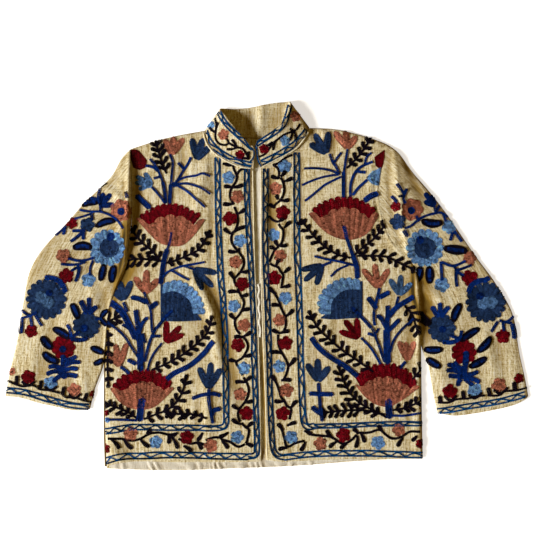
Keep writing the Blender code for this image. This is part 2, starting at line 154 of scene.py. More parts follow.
# Creases: height in mm, half width in mm, and the squares that each runs through; the setting
# crease_depth multiplies the heights
CREASES = [
    (-2.6, 8, [(193, 266), (210, 290), (222, 314), (228, 350), (235, 382), (245, 414)]),
    (3.8, 9, [(184, 268), (202, 291), (213, 315), (217, 345), (222, 376)]),
    (-1.6, 6, [(212, 160), (213, 200), (211, 255), (214, 292)]),
    (1.6, 8, [(208, 155), (203, 178), (197, 206), (199, 240)]),
    (1.3, 8, [(207, 372), (208, 410), (206, 452)]),
    (-1.2, 7, [(199, 380), (200, 420), (197, 450)]),
    (2.2, 8, [(110, 436), (115, 452), (126, 466)]),
    (-1.2, 7, [(122, 436), (128, 450), (138, 460)]),
    (-2.2, 5, [(104, 183), (112, 184), (120, 189), (128, 201)]),
    (1.8, 5, [(106, 190), (115, 193), (123, 203)]),
    (-1.6, 5, [(112, 170), (120, 178), (127, 190)]),
    (1.4, 8, [(80, 366), (84, 384), (83, 402)]),
    (-1.4, 8, [(71, 362), (73, 384), (70, 398)]),
    (1.4, 9, [(44, 322), (36, 350), (30, 380)]),
    (-1.6, 8, [(56, 322), (49, 350), (42, 384)]),
    (-1.8, 8, [(86, 236), (70, 262), (58, 290)]),
    (1.4, 8, [(96, 262), (92, 290), (95, 316)]),
    (-1.6, 7, [(100, 286), (102, 318), (97, 352)]),
    (-2.4, 6, [(273, 168), (272, 205), (274, 252)]),
    (1.4, 6, [(265, 172), (265, 215), (267, 255)]),
    (1.2, 6, [(283, 160), (282, 205), (283, 262)]),
    (-2.0, 5, [(312, 126), (314, 136), (318, 148)]),
    (-2.0, 5, [(331, 128), (334, 140), (333, 156)]),
    (1.4, 5, [(322, 127), (325, 142)]),
    (1.5, 6, [(341, 130), (345, 146)]),
    (-1.6, 7, [(408, 300), (410, 350), (409, 410), (408, 450)]),
    (2.0, 6, [(419, 286), (430, 292), (444, 303)]),
    (-1.6, 6, [(424, 274), (436, 284), (448, 294)]),
    (1.6, 6, [(374, 150), (371, 176), (372, 206), (379, 236)]),
    (2.0, 16, [(394, 146), (398, 175), (405, 205), (414, 235)]),
    (-1.8, 5, [(408, 181), (416, 188), (426, 203)]),
    (1.4, 6, [(405, 190), (413, 199), (418, 212)]),
    (-1.8, 5, [(402, 160), (412, 176)]),
    (-2.0, 4, [(395, 243), (401, 241), (405, 243)]),
    (-1.6, 5, [(517, 350), (520, 364), (520, 380)]),
    (-1.6, 9, [(492, 330), (500, 356), (506, 382)]),
    (1.4, 9, [(482, 328), (490, 360), (494, 388)]),
    (1.2, 8, [(436, 360), (443, 384), (446, 404)]),
    (-1.2, 8, [(448, 352), (455, 380), (460, 400)]),
    (1.2, 9, [(300, 300), (306, 350), (304, 400)]),
    (-1.3, 10, [(330, 300), (336, 340), (331, 400)]),
    (1.2, 10, [(366, 298), (370, 345), (366, 398)]),
    (-1.2, 9, [(160, 292), (164, 345), (158, 400)]),
    (1.2, 9, [(176, 300), (184, 340), (182, 400)]),
    (-1.0, 8, [(300, 140), (303, 180), (302, 230)]),
    (1.0, 8, [(152, 262), (148, 300), (152, 340)]),
    (-1.4, 7, [(180, 136), (183, 160), (180, 190)]),
    (1.2, 6, [(190, 134), (193, 156), (191, 186)]),
]

# Rolls and dips that one panel alone has, in the same columns
ROLLS = {
    "sleeve_right": [
        (8.0, 5, [(130, 150), (130, 175), (129.5, 200), (128.5, 225), (127, 246), (121, 266), (115, 284)]),
        (3.5, 13, [(125, 150), (126, 175), (126, 200), (124, 225), (120, 246), (114, 266)]),
        (4.5, 6, [(120, 268), (113, 290), (108, 312), (105, 335), (103, 356), (97, 384)]),
    ],
    "front_right": [
        (-3.0, 9, [(139, 148), (138, 190), (135, 228), (128, 262), (118, 290), (111, 318), (108, 350)]),
    ],
    "front_left": [
        (7.5, 6, [(414, 264), (417, 290), (418, 320), (418, 352)]),
        (-2.6, 2.6, [(262.6, 340), (263.4, 380), (264.1, 405), (264.9, 430), (265.4, 470)]),
        (2.6, 7, [(418, 345), (418, 400), (418, 455)]),
        (1.5, 3.5, [(385, 150), (379, 172), (377, 188), (379, 208), (384, 230), (393, 246), (408, 260)]),
        (-2.4, 5, [(389, 152), (384, 176), (383, 198), (387, 220), (394, 240), (406, 254)]),
    ],
    "sleeve_left": [
        (2.4, 4, [(393, 148), (396, 175), (399, 200), (402, 225), (405, 244), (410, 264)]),
        (-4.6, 11, [(424, 270), (428, 305), (427, 350)]),
        (1.3, 3.5, [(385, 150), (379, 172), (377, 188), (379, 208), (384, 230), (393, 246), (408, 260)]),
        (-3.0, 5, [(388, 152), (388, 176), (390, 200), (394, 224), (400, 245)]),
    ],
}

# Painted shade on one panel, in its valleys, in the gaps beside it and on the sides that face away from the
# light: how dark, half width in mm, and the squares that each runs through
PAINTED_SHADES = {
    "front_right": [
        (0.50, 12, [(137, 140), (138, 165), (138, 200), (136, 232), (129, 262), (119, 290), (112, 318)]),
        (0.30, 8, [(110, 318), (108, 350), (107, 390)]),
        (1.50, 4, [(113, 284), (111, 296), (108, 318), (105.5, 350), (105, 366)]),
        (1.00, 13, [(143, 250), (134, 266), (127, 277), (119, 292), (113, 302)]),
    ],
    "sleeve_left": [
        (0.95, 15, [(415, 258), (423, 280), (426, 310), (426, 350)]),
        (0.45, 20, [(390, 136), (410, 172), (438, 204), (459, 236), (482, 268), (496, 292)]),
    ],
    "sleeve_right": [
        (2.00, 5, [(127, 212), (126.5, 224), (125.5, 238), (124, 250), (122, 262), (119, 275), (114, 292)]),
        (0.45, 20, [(122, 140), (104, 170), (83, 202), (56, 232), (40, 258), (34, 285), (28, 310)]),
        (0.30, 14, [(128, 208), (122, 232), (112, 262), (106, 300)]),
    ],
    "front_left": [
        (2.00, 4, [(411, 256), (412, 266), (412.5, 280), (412.5, 294), (415, 303), (417, 314), (418, 330)]),
        (0.30, 10, [(265, 166), (266, 230), (270, 300), (272, 380), (273, 452)]),
        (0.30, 6, [(388, 152), (383, 190), (387, 222), (404, 252)]),
        (1.30, 2.6, [(262.0, 325), (263.4, 380), (264.1, 405), (264.9, 430), (265.4, 462)]),
    ],
    "lining_back": [
        (1.70, 6, [(259.8, 318), (260.9, 350), (261.9, 380), (262.4, 405), (262.8, 430), (263.2, 462)]),
        (0.25, 6, [(100, 466), (180, 466), (240, 466), (300, 466), (395, 462)]),
    ],
}

# The lining's gathered hem: rows between which the gathers rise, and the rows above that have small faces
# too; how far the whole hem and each fold of it rise, and how far the hem moves down; the width of a fold,
# and that of the small faces
GATHER_ROWS = (457, 463)
GATHER_MARGIN = 2
GATHER_LIFT = 1.0 * MM
GATHER_HEIGHT = 3.0 * MM
GATHER_DROP = 2.0 * MM
GATHER_WIDTH = 16 * MM
GATHER_MESH = 2.0 * MM

# How far a gather runs sideways with the hem's depth, and how it sways and how its size varies: waves a
# metre across and along, and layer of the random pattern
GATHER_SLANT = 0.45
GATHER_SWAY = ((24, 14), 0.5)
GATHER_VARIATION = ((45, 8), 7.5)
SWAY_TURN = 11
MIDDLE_SIZE = 0.65
SIZE_SPREAD = 1.2
LEAST_SIZE = 0.15

# Folds inside the back of the collar, in the same columns, and the rows between which they fade
COLLAR_CREASES = [
    (6.0, 9, [(262, 98), (261, 120), (258, 140)]),
    (8.5, 11, [(292, 98), (290, 118), (285, 140)]),
    (-1.5, 8, [(248, 98), (247, 120), (246, 140)]),
]
COLLAR_FOLD_ROWS = (139, 131)

# Rolls of the collar's upper folds, in the same columns, and the level above which they are
COLLAR_ROLLS = [
    (6.0, 15, [(296, 102), (300, 112), (303, 122), (302, 133), (294, 144)]),
]
COLLAR_TOP = 9 * MM

# How the collar's foot closes up on the back: the rows between which it does so, and how far
COLLAR_FOOT_ROWS = (130, 136)
COLLAR_DROP = 1.5 * MM

# How the collar's front ends close up on the cords: column, shift to the right and reach in columns, below
# this row and on their own side of this column
COLLAR_ENDS = [
    (253, 3.4 * MM, 7),
    (258, -1.8 * MM, 7),
]
COLLAR_END_ROW = 141
COLLAR_MIDDLE = 255

# How the underarm edges of the sleeves close up on the body: shift to the right, reach, rows between which
# the shift grows and between which it fades, and the squares of the edge
UNDERARMS = {
    "sleeve_right": (
        5.6 * MM, 26 * MM, (250, 268), (368, 388),
        [(127, 256), (119, 278), (112, 294), (107, 312), (104, 334), (103, 350), (98, 380)],
    ),
    "sleeve_left": (
        -5.4 * MM, 24 * MM, (250, 266), (340, 364),
        [(411, 256), (419, 272), (421, 290), (422, 318), (423, 342), (428, 366)],
    ),
}

# Seams and edges

# Cords: name, the panel they belong to, finish, how much shade is painted on them, radius in mm, level in mm
# or None to lie as high as the panel's cloth, and the squares that each runs through; the side seams lie in
# painted shade
CORDS = [
    ("side_seam_right", "back", "cotton", 1.6, 2.0, 2.1,
     [(126, 264), (120, 281), (112, 301), (106, 322), (105, 350), (105.2, 380), (105, 430), (106, 466)]),
    ("side_seam_left", "back", "cotton", 1.6, 2.0, 2.1,
     [(411, 263), (416, 280), (418.5, 300), (419.8, 340), (420.5, 400), (421.5, 456)]),
    ("neck_seam", "back", "cotton", 0.6, 1.7, 1.9,
     [(209, 132.6), (222, 135), (240, 137.4), (257, 138), (275, 137.4), (291, 134.2), (303, 130.6)]),
    ("collar_cord_right", "collar", "cord", 0, 1.5, None,
     [(203.5, 133), (206.5, 143), (213, 152), (223, 159.4), (234, 165), (244, 168), (251.5, 169)]),
    ("collar_cord_left", "collar", "cord", 0, 1.5, None,
     [(308.5, 132), (303, 141), (296, 149), (286, 155), (276, 160), (267, 164.6), (262.5, 167)]),
    ("front_edge_right", "front_right", "cord", 0, 1.1, None,
     [(252.8, 171), (253.4, 200), (254.4, 250), (256.2, 300), (258.6, 345), (260.0, 400), (260.8, 455)]),
    ("front_edge_left", "front_left", "cord", 0, 1.4, None,
     [(261, 169), (261.4, 200), (261.4, 270), (263.2, 335), (265.8, 400), (267, 455)]),
    ("lining_ruffle", "lining_back", "lining", 0, 2.1, 6.8,
     [(258.2, 284), (259.6, 290), (258.4, 296), (259.8, 302), (258.6, 308), (260.2, 315), (259.2, 322),
      (260.6, 329), (260.2, 337)]),
]
CORD_SIDES = 8
ABOVE_CLOTH = 12 * MM
CORD_STEP = 3.0 * MM

# Materials

# The cloth's uneven threads: how often each kind varies in a metre across and along the grain, its detail
# and roughness, and its share in the whole
STREAKS = {
    "warp": ((340, 22, 1), (3.0, 0.6), 0.32),
    "fine warp": ((550, 90, 1), (2.0, 0.6), 0.26),
    "weft": ((50, 380, 1), (3.0, 0.6), 0.18),
    "speck": ((400, 400, 1), (2.0, 0.7), 0.24),
}

# Levels between which the streaks turn to a dark slub and to a light thread, and the light thread's colour
SLUB_LEVELS = (0.51, 0.41)
LIGHT_LEVELS = (0.49, 0.58)
LIGHT_COLOUR = (1.0, 0.97, 0.84, 1)
LIGHT_SHARE = 0.9

# Broad patches of the shade's colour
CLOUD_COUNTS = (20, 20, 1)
CLOUD_DETAIL = (3.0, 0.6)
CLOUD_LEVELS = (0.45, 0.75)
CLOUD_SHARE = 0.16

# Painted deep shade in the deepest hollows and gaps: the amounts of painted shade at which it begins and is
# full, and its colour
DEEP_SHADE_LEVELS = (1.0, 2.0)
DEEP_SHADE_COLOUR = (0.05, 0.03, 0.004, 1)

# The weave: how close its threads lie in each direction, their waviness, and the height of weave and streaks
WEAVE = {"X": 400, "Y": 360}
WEAVE_DISTORTION = 0.6
WEAVE_HEIGHT = 0.18
STREAK_HEIGHT = 3.0

# Embroidery thread: features a metre of its strands and of its worn patches, with the levels between which
# they show, how strongly, and by what they multiply the dye
FLOSS_DETAIL = (2.0, 0.5)
STRAND_COUNTS = (2600, 2600, 2600)
STRAND_LEVELS = (0.25, 0.75)
STRAND_SHARE = 0.4
STRAND_TONE = (0.35, 0.35, 0.35, 1)
WEAR_COUNTS = (45, 45, 45)
WEAR_LEVELS = (0.42, 0.72)
WEAR_SHARE = 0.35
WEAR_TONE = (1.5, 1.5, 1.5, 1)

# Surfaces: roughness, gloss, sheen and height of the relief
CLOTH_SURFACE = (0.85, 0.2, 0.05, 0.9 * MM)
THREAD_SURFACE = (0.7, 0.04, 0.0, 0.15 * MM)

# Stitches and threads

# Threads, as (red, green, blue) of the light that they send back
THREADS = {
    "navy": (0.001, 0.018, 0.140),
    "blue": (0.001, 0.045, 0.155),
    "ink": (0.001, 0.024, 0.080),
    "slate": (0.015, 0.038, 0.115),
    "dusk": (0.060, 0.135, 0.300),
    "sky": (0.135, 0.290, 0.620),
    "crimson": (0.138, 0.001, 0.006),
    "wine": (0.075, 0.001, 0.003),
    "rose": (0.375, 0.130, 0.080),
    "plum": (0.004, 0.002, 0.007),
}

# One link of chain stitch: how many sides its outline has, the width of its rim, the depth of its dimple,
# its painted shade at the foot and inside and its painted highlight on top, and how far it reaches past its
# stitch and its row
LINK_SIDES = 8
LINK_RIM = 0.18
LINK_DIMPLE = 0.55
LINK_SHADE_AND_HIGHLIGHT = (0.03, 0.35, 1.35)
LINK_LENGTH = 1.42
LINK_WIDTH = 1.36

# How far a link narrows and sinks towards its foot: size in its middle, and change over its whole length
LINK_TAPER = (0.90, 0.4)
LINK_SLOPE = (0.85, 0.4)

# How a link lies: its sinking into the cloth, the lift of each layer as a share of the thread's height, the
# least upward part of the cloth's normal where it takes a stitch, and the level from which it is looked for
LINK_SINK = 0.12 * MM
LAYER_LIFT = 0.40
STEEPEST_CLOTH = 0.2
LOOKOUT = 100 * MM

# How unevenly the dye takes: spread from link to link, least tone of a link, and middle and spread of a row
LINK_VARIATION = 0.38
LEAST_TONE = 0.1
ROW_TONE = 0.92
ROW_VARIATION = 0.20

# Rows of stitches: range of their stitches' length, the shortest row in stitches, and how far neighbours
# of a filled shape overlap
STITCH_RANGE = (0.86, 1.16)
SHORTEST_ROW = 0.3
OVERLAP = 1.05

# Points of a line that rows are drawn beside, of one that is filled from, and of one that is cut short
LINE_POINTS = 25
FILL_POINTS = 201
CUT_POINTS = 41

# How much longer than what is cut off a line has to be to be cut short
LEAST_LEFT = 1.2

# Round ends of a shape's outer rows, as a share of its breadth
ROUND_END = 0.6

# A pointed leaf: where its swell begins, how full it is, its breadth, and how its outer rows are cut
LEAF_START = 0.06
LEAF_FULLNESS = 0.75
LEAF_BREADTH = 1.15
LEAF_CUT = 0.08

# The core of a leaf: its inset from both ends as a share of the length, and the place and width of its rows
CORE_INSET = 0.17
CORE_PLACE = 0.10
CORE_WIDTH = 0.19

# A petal: where its swell begins and ends, how full it is, how blunt its root is, and how dark its sides are
PETAL_POINTS = 9
PETAL_SPAN = (0.12, 0.84)
PETAL_FULLNESS = 0.7
PETAL_ROOT = 0.4
PETAL_SHADE = 0.25

# Lobes: points of a ring for each, their fullness in a round flower and in a scalloped edge, the depth of the
# notches between rays, and the tone in a notch and its gain on a lobe
RING_POINTS = 12
BLOSSOM_FULLNESS = 0.7
SCALLOP_FULLNESS = 0.6
RAY_NOTCH = 0.2
RAY_TONES = (0.55, 0.55)
FILL_TONES = (0.50, 0.60)

# Shorter rows where rows crowd: the range in which they begin, and the narrowing from which rows crowd
RAY_STARTS = (0.28, 0.45)
FILL_STARTS = (0.30, 0.45)
CROWDED = 0.62

# A small flower of the vines: its narrowing by the last stitches, and its petals' and its middle's sizes
ROSETTE_MARGIN = 0.6 * MM
ROSETTE_TURN = 0.1
ROSETTE_PETALS = (0.40, 0.46)
ROSETTE_MIDDLE = 0.32

# A sprig: widths of its stem and leaves, angle from stem to leaf in degrees and its variation, size of the
# leaves at the ends and its gain in the middle, length of the leaf at the tip and the share of it that lies
# on the stem, and over how many squares to each side the stem's way is read
SPRIG_STEM = 2.0
SPRIG_LEAF = 4.1
SPRIG_SPREAD = 50
SPRIG_VARIATION = 8
SPRIG_GROWTH = (0.88, 0.3)
SPRIG_TIP = 3.5
SPRIG_TIP_ROOT = 0.7
SPRIG_LOOK = 3

# A blade: the lean of its middle, its breadth from the stalk to the tip, and its rows' blunt ends and width
BLADE_LEAN = 0.07
BLADE_BEND = 0.6
BLADE_BREADTHS = (0.35, 0.42, 0.5, 0.66, 0.88, 1.0, 1.0, 0.95, 0.7)
BLADE_CUT = 0.3
BLADE_ROW = 0.9

# A rope's line: steps between two given points, and the distance and the least number of its own points
ROPE_SMOOTHNESS = 12
ROPE_STEP = 2 * MM
ROPE_LEAST = 8

# A rope's two lines: how far they wander in squares, and the points between two turns
ROPE_WANDER = 0.16
ROPE_WANDER_GAP = 12

# The wave between them: length in squares, pace and its spread, points between two paces, range of its
# start, sway as a share of the gap, and width as a share of the lines'
ROPE_WAVE = 17.0
ROPE_PACE = (1.0, 0.4)
ROPE_PACE_GAP = 8
ROPE_STARTS = (0, 6)
ROPE_SWAY = 0.66
ROPE_WAVE_WIDTH = 0.8

# The embroidered panels, and the widths of a rope's thread, a vine's stem and its leaves, in squares
EMBROIDERED = ("front_right", "front_left", "sleeve_right", "sleeve_left", "collar")
PANEL_WIDTHS = (1.6, 2.4, 4.3)
COLLAR_WIDTHS = (1.7, 2.1, 2.8)

# What is embroidered, in squares of the drawing grid

# Rope borders: (half the gap between the lines, thread, points)
ROPES = {
    "front_right": [
        (2.4, "blue", [(217.6, 158), (218.1, 200), (219.1, 245), (221.1, 280), (223.1, 300), (224.6, 330),
         (225.6, 370), (226.1, 410), (225.6, 424), (220.6, 427), (212, 427.5)]),
        (2.6, "blue", [(212, 427.5), (180, 427), (145, 426.5), (128, 427), (106, 431)]),
        (2.2, "blue", [(246.8, 169), (247.3, 205), (250, 255), (252.6, 300), (253.6, 335), (254.4, 370),
         (256, 415), (256.8, 447), (255, 454.5), (248, 455.8)]),
        (2.8, "blue", [(248, 455.8), (215, 455.3), (180, 454.3), (145, 454.8), (120, 456.3), (106, 460.8)]),
    ],
    "front_left": [
        (2.6, "blue", [(296.5, 153), (296.5, 200), (296.8, 250), (298, 280), (299.5, 320), (300.5, 360),
         (302, 400), (303.5, 420), (307, 426), (314, 425.5)]),
        (1.9, "blue", [(314, 425.5), (345, 425), (380, 423.5), (422, 423)]),
        (2.2, "ink", [(265.7, 169), (265.6, 210), (265.3, 255), (267.4, 305), (268.8, 355), (270.4, 410),
         (272.6, 445), (277, 454.5), (284, 456.5)]),
        (2.6, "blue", [(284, 456.5), (310, 453.5), (345, 452.5), (385, 453), (422, 454.5)]),
    ],
    "sleeve_right": [
        (2.4, "blue", [(7, 390), (20, 391), (30, 393), (50, 399), (70, 404.5), (89, 406.5)]),
    ],
    "sleeve_left": [
        (2.4, "blue", [(437, 411), (455, 408), (470, 405.5), (500, 400.5), (524, 394)]),
    ],
    "collar": [
        (1.9, "blue", [(219.3, 113.2), (224.1, 122.2), (231.3, 130.7), (241.3, 139.9), (249.3, 146.7),
         (252.8, 149.5)]),
        (1.9, "blue", [(206, 131.4), (210, 141.8), (217.6, 150.3), (228.4, 157.5), (240.5, 162.7),
         (251.2, 165.4)]),
        (1.8, "blue", [(289.8, 106), (287.8, 114.2), (285.3, 121.8), (282.3, 127.8), (274.8, 134),
         (265.2, 140), (256.5, 145.4)]),
        (2.4, "blue", [(307, 131.2), (302.6, 136.9), (295, 144.7), (285.5, 151.1), (275.4, 156.8),
         (267.4, 160.6), (261.9, 163.2)]),
    ],
}

# Stems of the vine bands, as points
VINE_STEMS = {
    "front_right": [
        [(233, 163), (234, 170), (237, 176), (236, 182), (232, 188), (230, 194), (231, 200), (234, 204)],
        [(234, 206), (237, 214), (238, 221), (236, 229), (231.5, 236), (232, 243), (236, 249), (239, 252)],
        [(237, 175), (241, 170), (248, 170)],
        [(240, 247), (239, 252), (243, 258), (244, 264), (241, 271), (236, 277), (234, 280), (237, 287)],
        [(237, 287), (240, 294), (244, 301), (243, 308), (239, 315), (235, 320), (236, 328), (241, 335)],
        [(241, 335), (246, 340), (248, 346), (246, 352), (242, 358), (236, 362), (240, 369), (243, 376)],
        [(243, 376), (247, 383), (249, 390), (247, 398), (244, 403), (239, 409), (238, 416), (241, 422)],
        [(241, 422), (246, 427), (249, 429), (248, 436), (246, 443)],
        [(246, 443), (238, 446), (230, 441), (222, 439), (221, 437), (212, 437), (205, 440)],
        [(205, 444), (198, 442), (190, 443), (184, 440), (178, 438)],
        [(178, 432), (170, 434), (160, 432), (150, 433), (141, 438), (132, 440), (122, 438), (107, 438)],
    ],
    "front_left": [
        [(293, 155), (286, 158), (278, 164), (273, 165), (278, 169), (279, 175), (278, 179)],
        [(280, 177), (283, 183), (284, 191), (282, 198), (279, 202), (275, 205), (274, 209)],
        [(268.5, 216), (272.5, 220), (277.5, 222), (280, 221)],
        [(278, 223), (281, 228), (283, 230), (283, 237), (281, 244), (277, 248), (273, 253), (269, 263)],
        [(269, 263), (274, 266), (278, 267), (280, 271), (283, 275), (282, 282), (281, 289)],
        [(270, 289), (275.5, 295), (279.5, 303), (280.5, 307), (283.5, 313), (285.5, 318), (285.5, 326),
         (282.5, 333)],
        [(278, 333), (278, 342), (280, 349), (282, 353), (286, 360), (288, 366), (286, 374), (283, 380)],
        [(272, 376), (276, 382), (279, 390), (281, 397), (284, 400), (287, 406), (291, 408), (289, 420)],
        [(279, 424), (282, 430), (284, 437), (287, 446), (296, 442), (305, 440)],
        [(306, 432), (311, 434), (320, 435), (330, 436), (334, 438), (342, 443), (350, 440), (357, 433)],
        [(357, 432), (368, 432), (379, 429), (385, 434), (392, 438), (401, 436), (409, 431), (421, 431)],
    ],
    "collar": [
        [(215, 118), (217, 126), (216, 134), (216, 140), (220, 145), (227, 146), (229, 143), (226, 139)],
        [(229, 144), (236, 148), (243, 150), (247, 156), (249, 160)],
        [(300, 124), (297, 130), (292, 133), (284, 136), (277, 141), (272, 145), (266, 154), (258, 158)],
    ],
}

# Leaves along the vines: (column and row of the root, column and row of the tip)
VINE_LEAVES = {
    "front_right": [
        (223, 164, 232, 165), (232, 188, 224, 187), (232, 188, 243, 185),
        (234, 204, 223, 204), (238, 214, 245, 209), (231, 234, 224, 228),
        (231, 234, 245, 227), (238, 252, 228, 251), (241, 272, 249, 271),
        (234, 279, 229, 272), (239, 292, 228, 292), (241, 296, 248, 294),
        (241, 311, 250, 309), (235, 319, 230, 313), (243, 337, 234, 337),
        (244, 336, 251, 331), (243, 356, 252, 354), (236, 361, 229, 359),
        (245, 382, 235, 382), (246, 381, 252, 376), (244, 402, 253, 400),
        (239, 409, 232, 404), (241, 424, 232, 418), (247, 427, 253, 422),
        (246, 443, 253, 446), (228, 432, 219, 436), (222, 440, 228, 448),
        (203, 432, 197, 440), (197, 441, 202, 449), (184, 445, 192, 451),
        (178, 432, 170, 436), (169, 434, 169, 443), (173, 437, 178, 448),
        (141, 439, 150, 446), (147, 433, 152, 429), (124, 438, 133, 448),
        (112, 438, 120, 448),
    ],
    "front_left": [
        (279, 179, 271, 176), (281, 177, 285, 171), (284, 182, 292, 178),
        (281, 201, 289, 200), (275, 208, 269, 204), (278, 200, 276, 195),
        (284, 228, 291, 222), (279, 222, 283, 218), (279, 246, 287, 245),
        (276, 250, 269, 247), (278, 246, 275, 240), (276, 265, 280, 259),
        (284, 273, 290, 268), (282, 287, 290, 285), (276, 294, 269, 287),
        (281, 306, 271, 305), (286, 316, 293, 309), (280, 333, 272, 329),
        (280, 333, 289, 331), (282, 353, 271, 352), (288, 366, 295, 357),
        (281, 380, 291, 380), (276, 382, 271, 375), (283, 401, 274, 400),
        (291, 407, 297, 400), (287, 425, 296, 422), (283, 430, 277, 423),
        (287, 447, 278, 449), (305, 441, 300, 450), (304, 430, 311, 434),
        (333, 438, 326, 429), (336, 441, 329, 447), (346, 443, 340, 448),
        (358, 433, 352, 428), (357, 435, 355, 447), (360, 432, 364, 442),
        (382, 431, 378, 424), (402, 437, 397, 446), (416, 435, 411, 440),
    ],
    "collar": [
        (216, 133, 219, 124), (216, 134, 210, 128), (237, 148, 232, 141),
        (237, 149, 227, 150), (249, 160, 249, 152), (249, 160, 242, 159),
        (294, 134, 289, 130), (294, 133, 295, 141), (292, 134, 289, 141),
        (276, 141, 273, 151), (272, 143, 266, 147),
    ],
}

# Small flowers of the vines: (column, row, radius, thread)
VINE_FLOWERS = {
    "front_right": [
        (106.5, 412.5, 3.7, "crimson"), (108, 419.5, 3.0, "sky"),
        (228.5, 178, 6.7, "sky"), (237.5, 197, 6.9, "rose"), (230, 219, 7.6, "crimson"),
        (240, 241, 6.9, "sky"), (235.5, 262, 6.9, "rose"), (242, 284, 7.4, "crimson"),
        (234, 306, 6.7, "sky"), (244, 325, 6.9, "rose"), (238, 345, 7.4, "crimson"),
        (244, 368, 6.9, "sky"), (240, 394, 6.9, "rose"), (246.5, 413, 7.6, "crimson"),
        (237, 436.5, 6.9, "sky"), (211, 445, 7.1, "rose"), (187, 436.5, 7.6, "crimson"),
        (156, 441.5, 6.9, "sky"), (131, 433, 7.4, "rose"), (106.5, 448, 5.2, "crimson"),
    ],
    "front_left": [
        (284.5, 167, 6.9, "sky"), (275.5, 189, 6.9, "rose"), (282.5, 213, 7.6, "crimson"),
        (273.5, 235, 6.7, "sky"), (280, 256, 6.7, "rose"), (274, 278, 7.5, "crimson"),
        (285, 298, 6.9, "sky"), (279, 320, 6.7, "rose"), (285, 343, 7.6, "crimson"),
        (279, 366, 6.7, "sky"), (286, 390, 7.4, "rose"), (282.5, 413, 7.6, "crimson"),
        (291, 436.5, 6.9, "sky"), (320, 443, 7.1, "rose"), (343, 434.5, 7.8, "crimson"),
        (377.5, 442, 7.4, "sky"), (398, 429, 7.1, "rose"), (419.5, 443, 5.2, "crimson"),
    ],
    "collar": [
        (211, 126, 4.6, "sky"), (224, 136, 5.8, "rose"), (240, 156, 5.2, "crimson"),
        (264, 150, 5.2, "crimson"), (285, 142, 5.4, "sky"), (295, 118, 5.8, "rose"),
    ],
    "sleeve_right": [
        (72, 223, 6.6, "crimson"), (88, 225, 7.7, "slate"), (64, 256, 7.7, "rose"),
        (67, 276, 8.1, "crimson"), (89, 280, 7.5, "sky"), (32, 331, 7.0, "crimson"),
        (12, 371, 4.4, "rose"), (29, 377, 7.7, "crimson"), (51, 383, 7.3, "sky"),
        (75, 390, 7.7, "rose"), (94, 394, 4.4, "crimson"),
    ],
    "sleeve_left": [
        (395, 207, 5.5, "crimson"), (397, 222, 8.4, "slate"), (448, 227, 7.5, "sky"),
        (469, 258, 7.5, "rose"), (469, 278, 8.6, "crimson"), (441, 285, 7.9, "sky"),
        (502, 336, 7.7, "crimson"), (449, 391, 7.9, "crimson"), (474, 390, 7.9, "sky"),
        (498, 385, 8.1, "rose"), (518, 378, 5.5, "crimson"),
    ],
}

# Sprigs with paired leaves: (first pair, distance between pairs, length of the left and of the right
# leaves, points of the stem)
SPRIGS = {
    "front_right": [
        (3.7, 6.4, 7.5, 8.5, [(167, 174), (163, 165), (160, 156), (156, 142)]),
        (4.0, 7.2, 7.5, 8.0, [(161, 261.5), (152, 250.5), (142, 242.5), (131, 228.5)]),
        (4.0, 7.4, 8.5, 6.0, [(162, 261.5), (149, 259.5), (134, 259.5), (118, 264.5)]),
        (4.5, 8.0, 6.0, 6.5, [(165, 263.5), (176, 260.5), (188, 255.5), (200, 248.5), (209, 233.5)]),
        (5.0, 7.8, 7.5, 7.0, [(152, 369.5), (162, 365.5), (174, 359.5), (187, 351.5), (199, 341.5),
         (208, 331.5), (212, 318.5)]),
        (5.0, 6.2, 7.5, 5.5, [(137.5, 418), (127.5, 411), (117.5, 407), (106.5, 403)]),
        (4.0, 8.6, 7.0, 8.0, [(144.5, 418.5), (156.5, 413.5), (167.5, 409.5), (176.5, 401.5), (182.5, 391.5),
         (186.5, 377.5)]),
        (3.5, 7.0, 7.0, 5.0, [(207, 417.5), (192, 413.5), (179, 413.5), (169, 412.5)]),
        (1.5, 6.8, 8.5, 8.0, [(103, 327), (110, 321), (119, 317)]),
        (3.0, 8.8, 5.5, 5.5, [(108, 330), (109, 345), (108, 362), (109, 384)]),
    ],
    "front_left": [
        (5.0, 7.0, 6.5, 6.5, [(346.5, 168.5), (353.5, 161.5), (360.5, 153.5), (365.5, 146.5),
         (370.5, 138.5)]),
        (4.0, 7.8, 8.0, 6.0, [(350, 258), (338, 255), (326, 248), (315, 238), (302, 222)]),
        (3.5, 7.4, 8.0, 5.0, [(354, 255), (363, 247), (373, 239), (384, 226)]),
        (5.0, 8.6, 8.0, 6.0, [(356.5, 256), (370.5, 256), (385.5, 257), (398.5, 263), (411.5, 269)]),
        (6.5, 8.2, 8.5, 7.5, [(372.5, 371.5), (357.5, 360.5), (342.5, 350.5), (328.5, 338.5), (317.5, 327.5),
         (309.5, 313.5)]),
        (9.0, 7.0, 9.5, 7.0, [(386.5, 417), (373.5, 410), (361.5, 404), (351.5, 395), (344.5, 383),
         (338.5, 368)]),
        (26.0, 6.6, 7.5, 8.0, [(384, 414), (365, 410), (345, 410), (325, 412)]),
        (4.0, 6.6, 6.5, 6.5, [(392, 409.5), (404, 407.5), (414, 403.5), (422, 398.5)]),
        (3.5, 6.4, 9.0, 8.0, [(404, 305.5), (412, 315.5), (417, 331.5)]),
        (4.5, 6.8, 8.0, 5.0, [(412, 379), (422, 366)]),
    ],
}

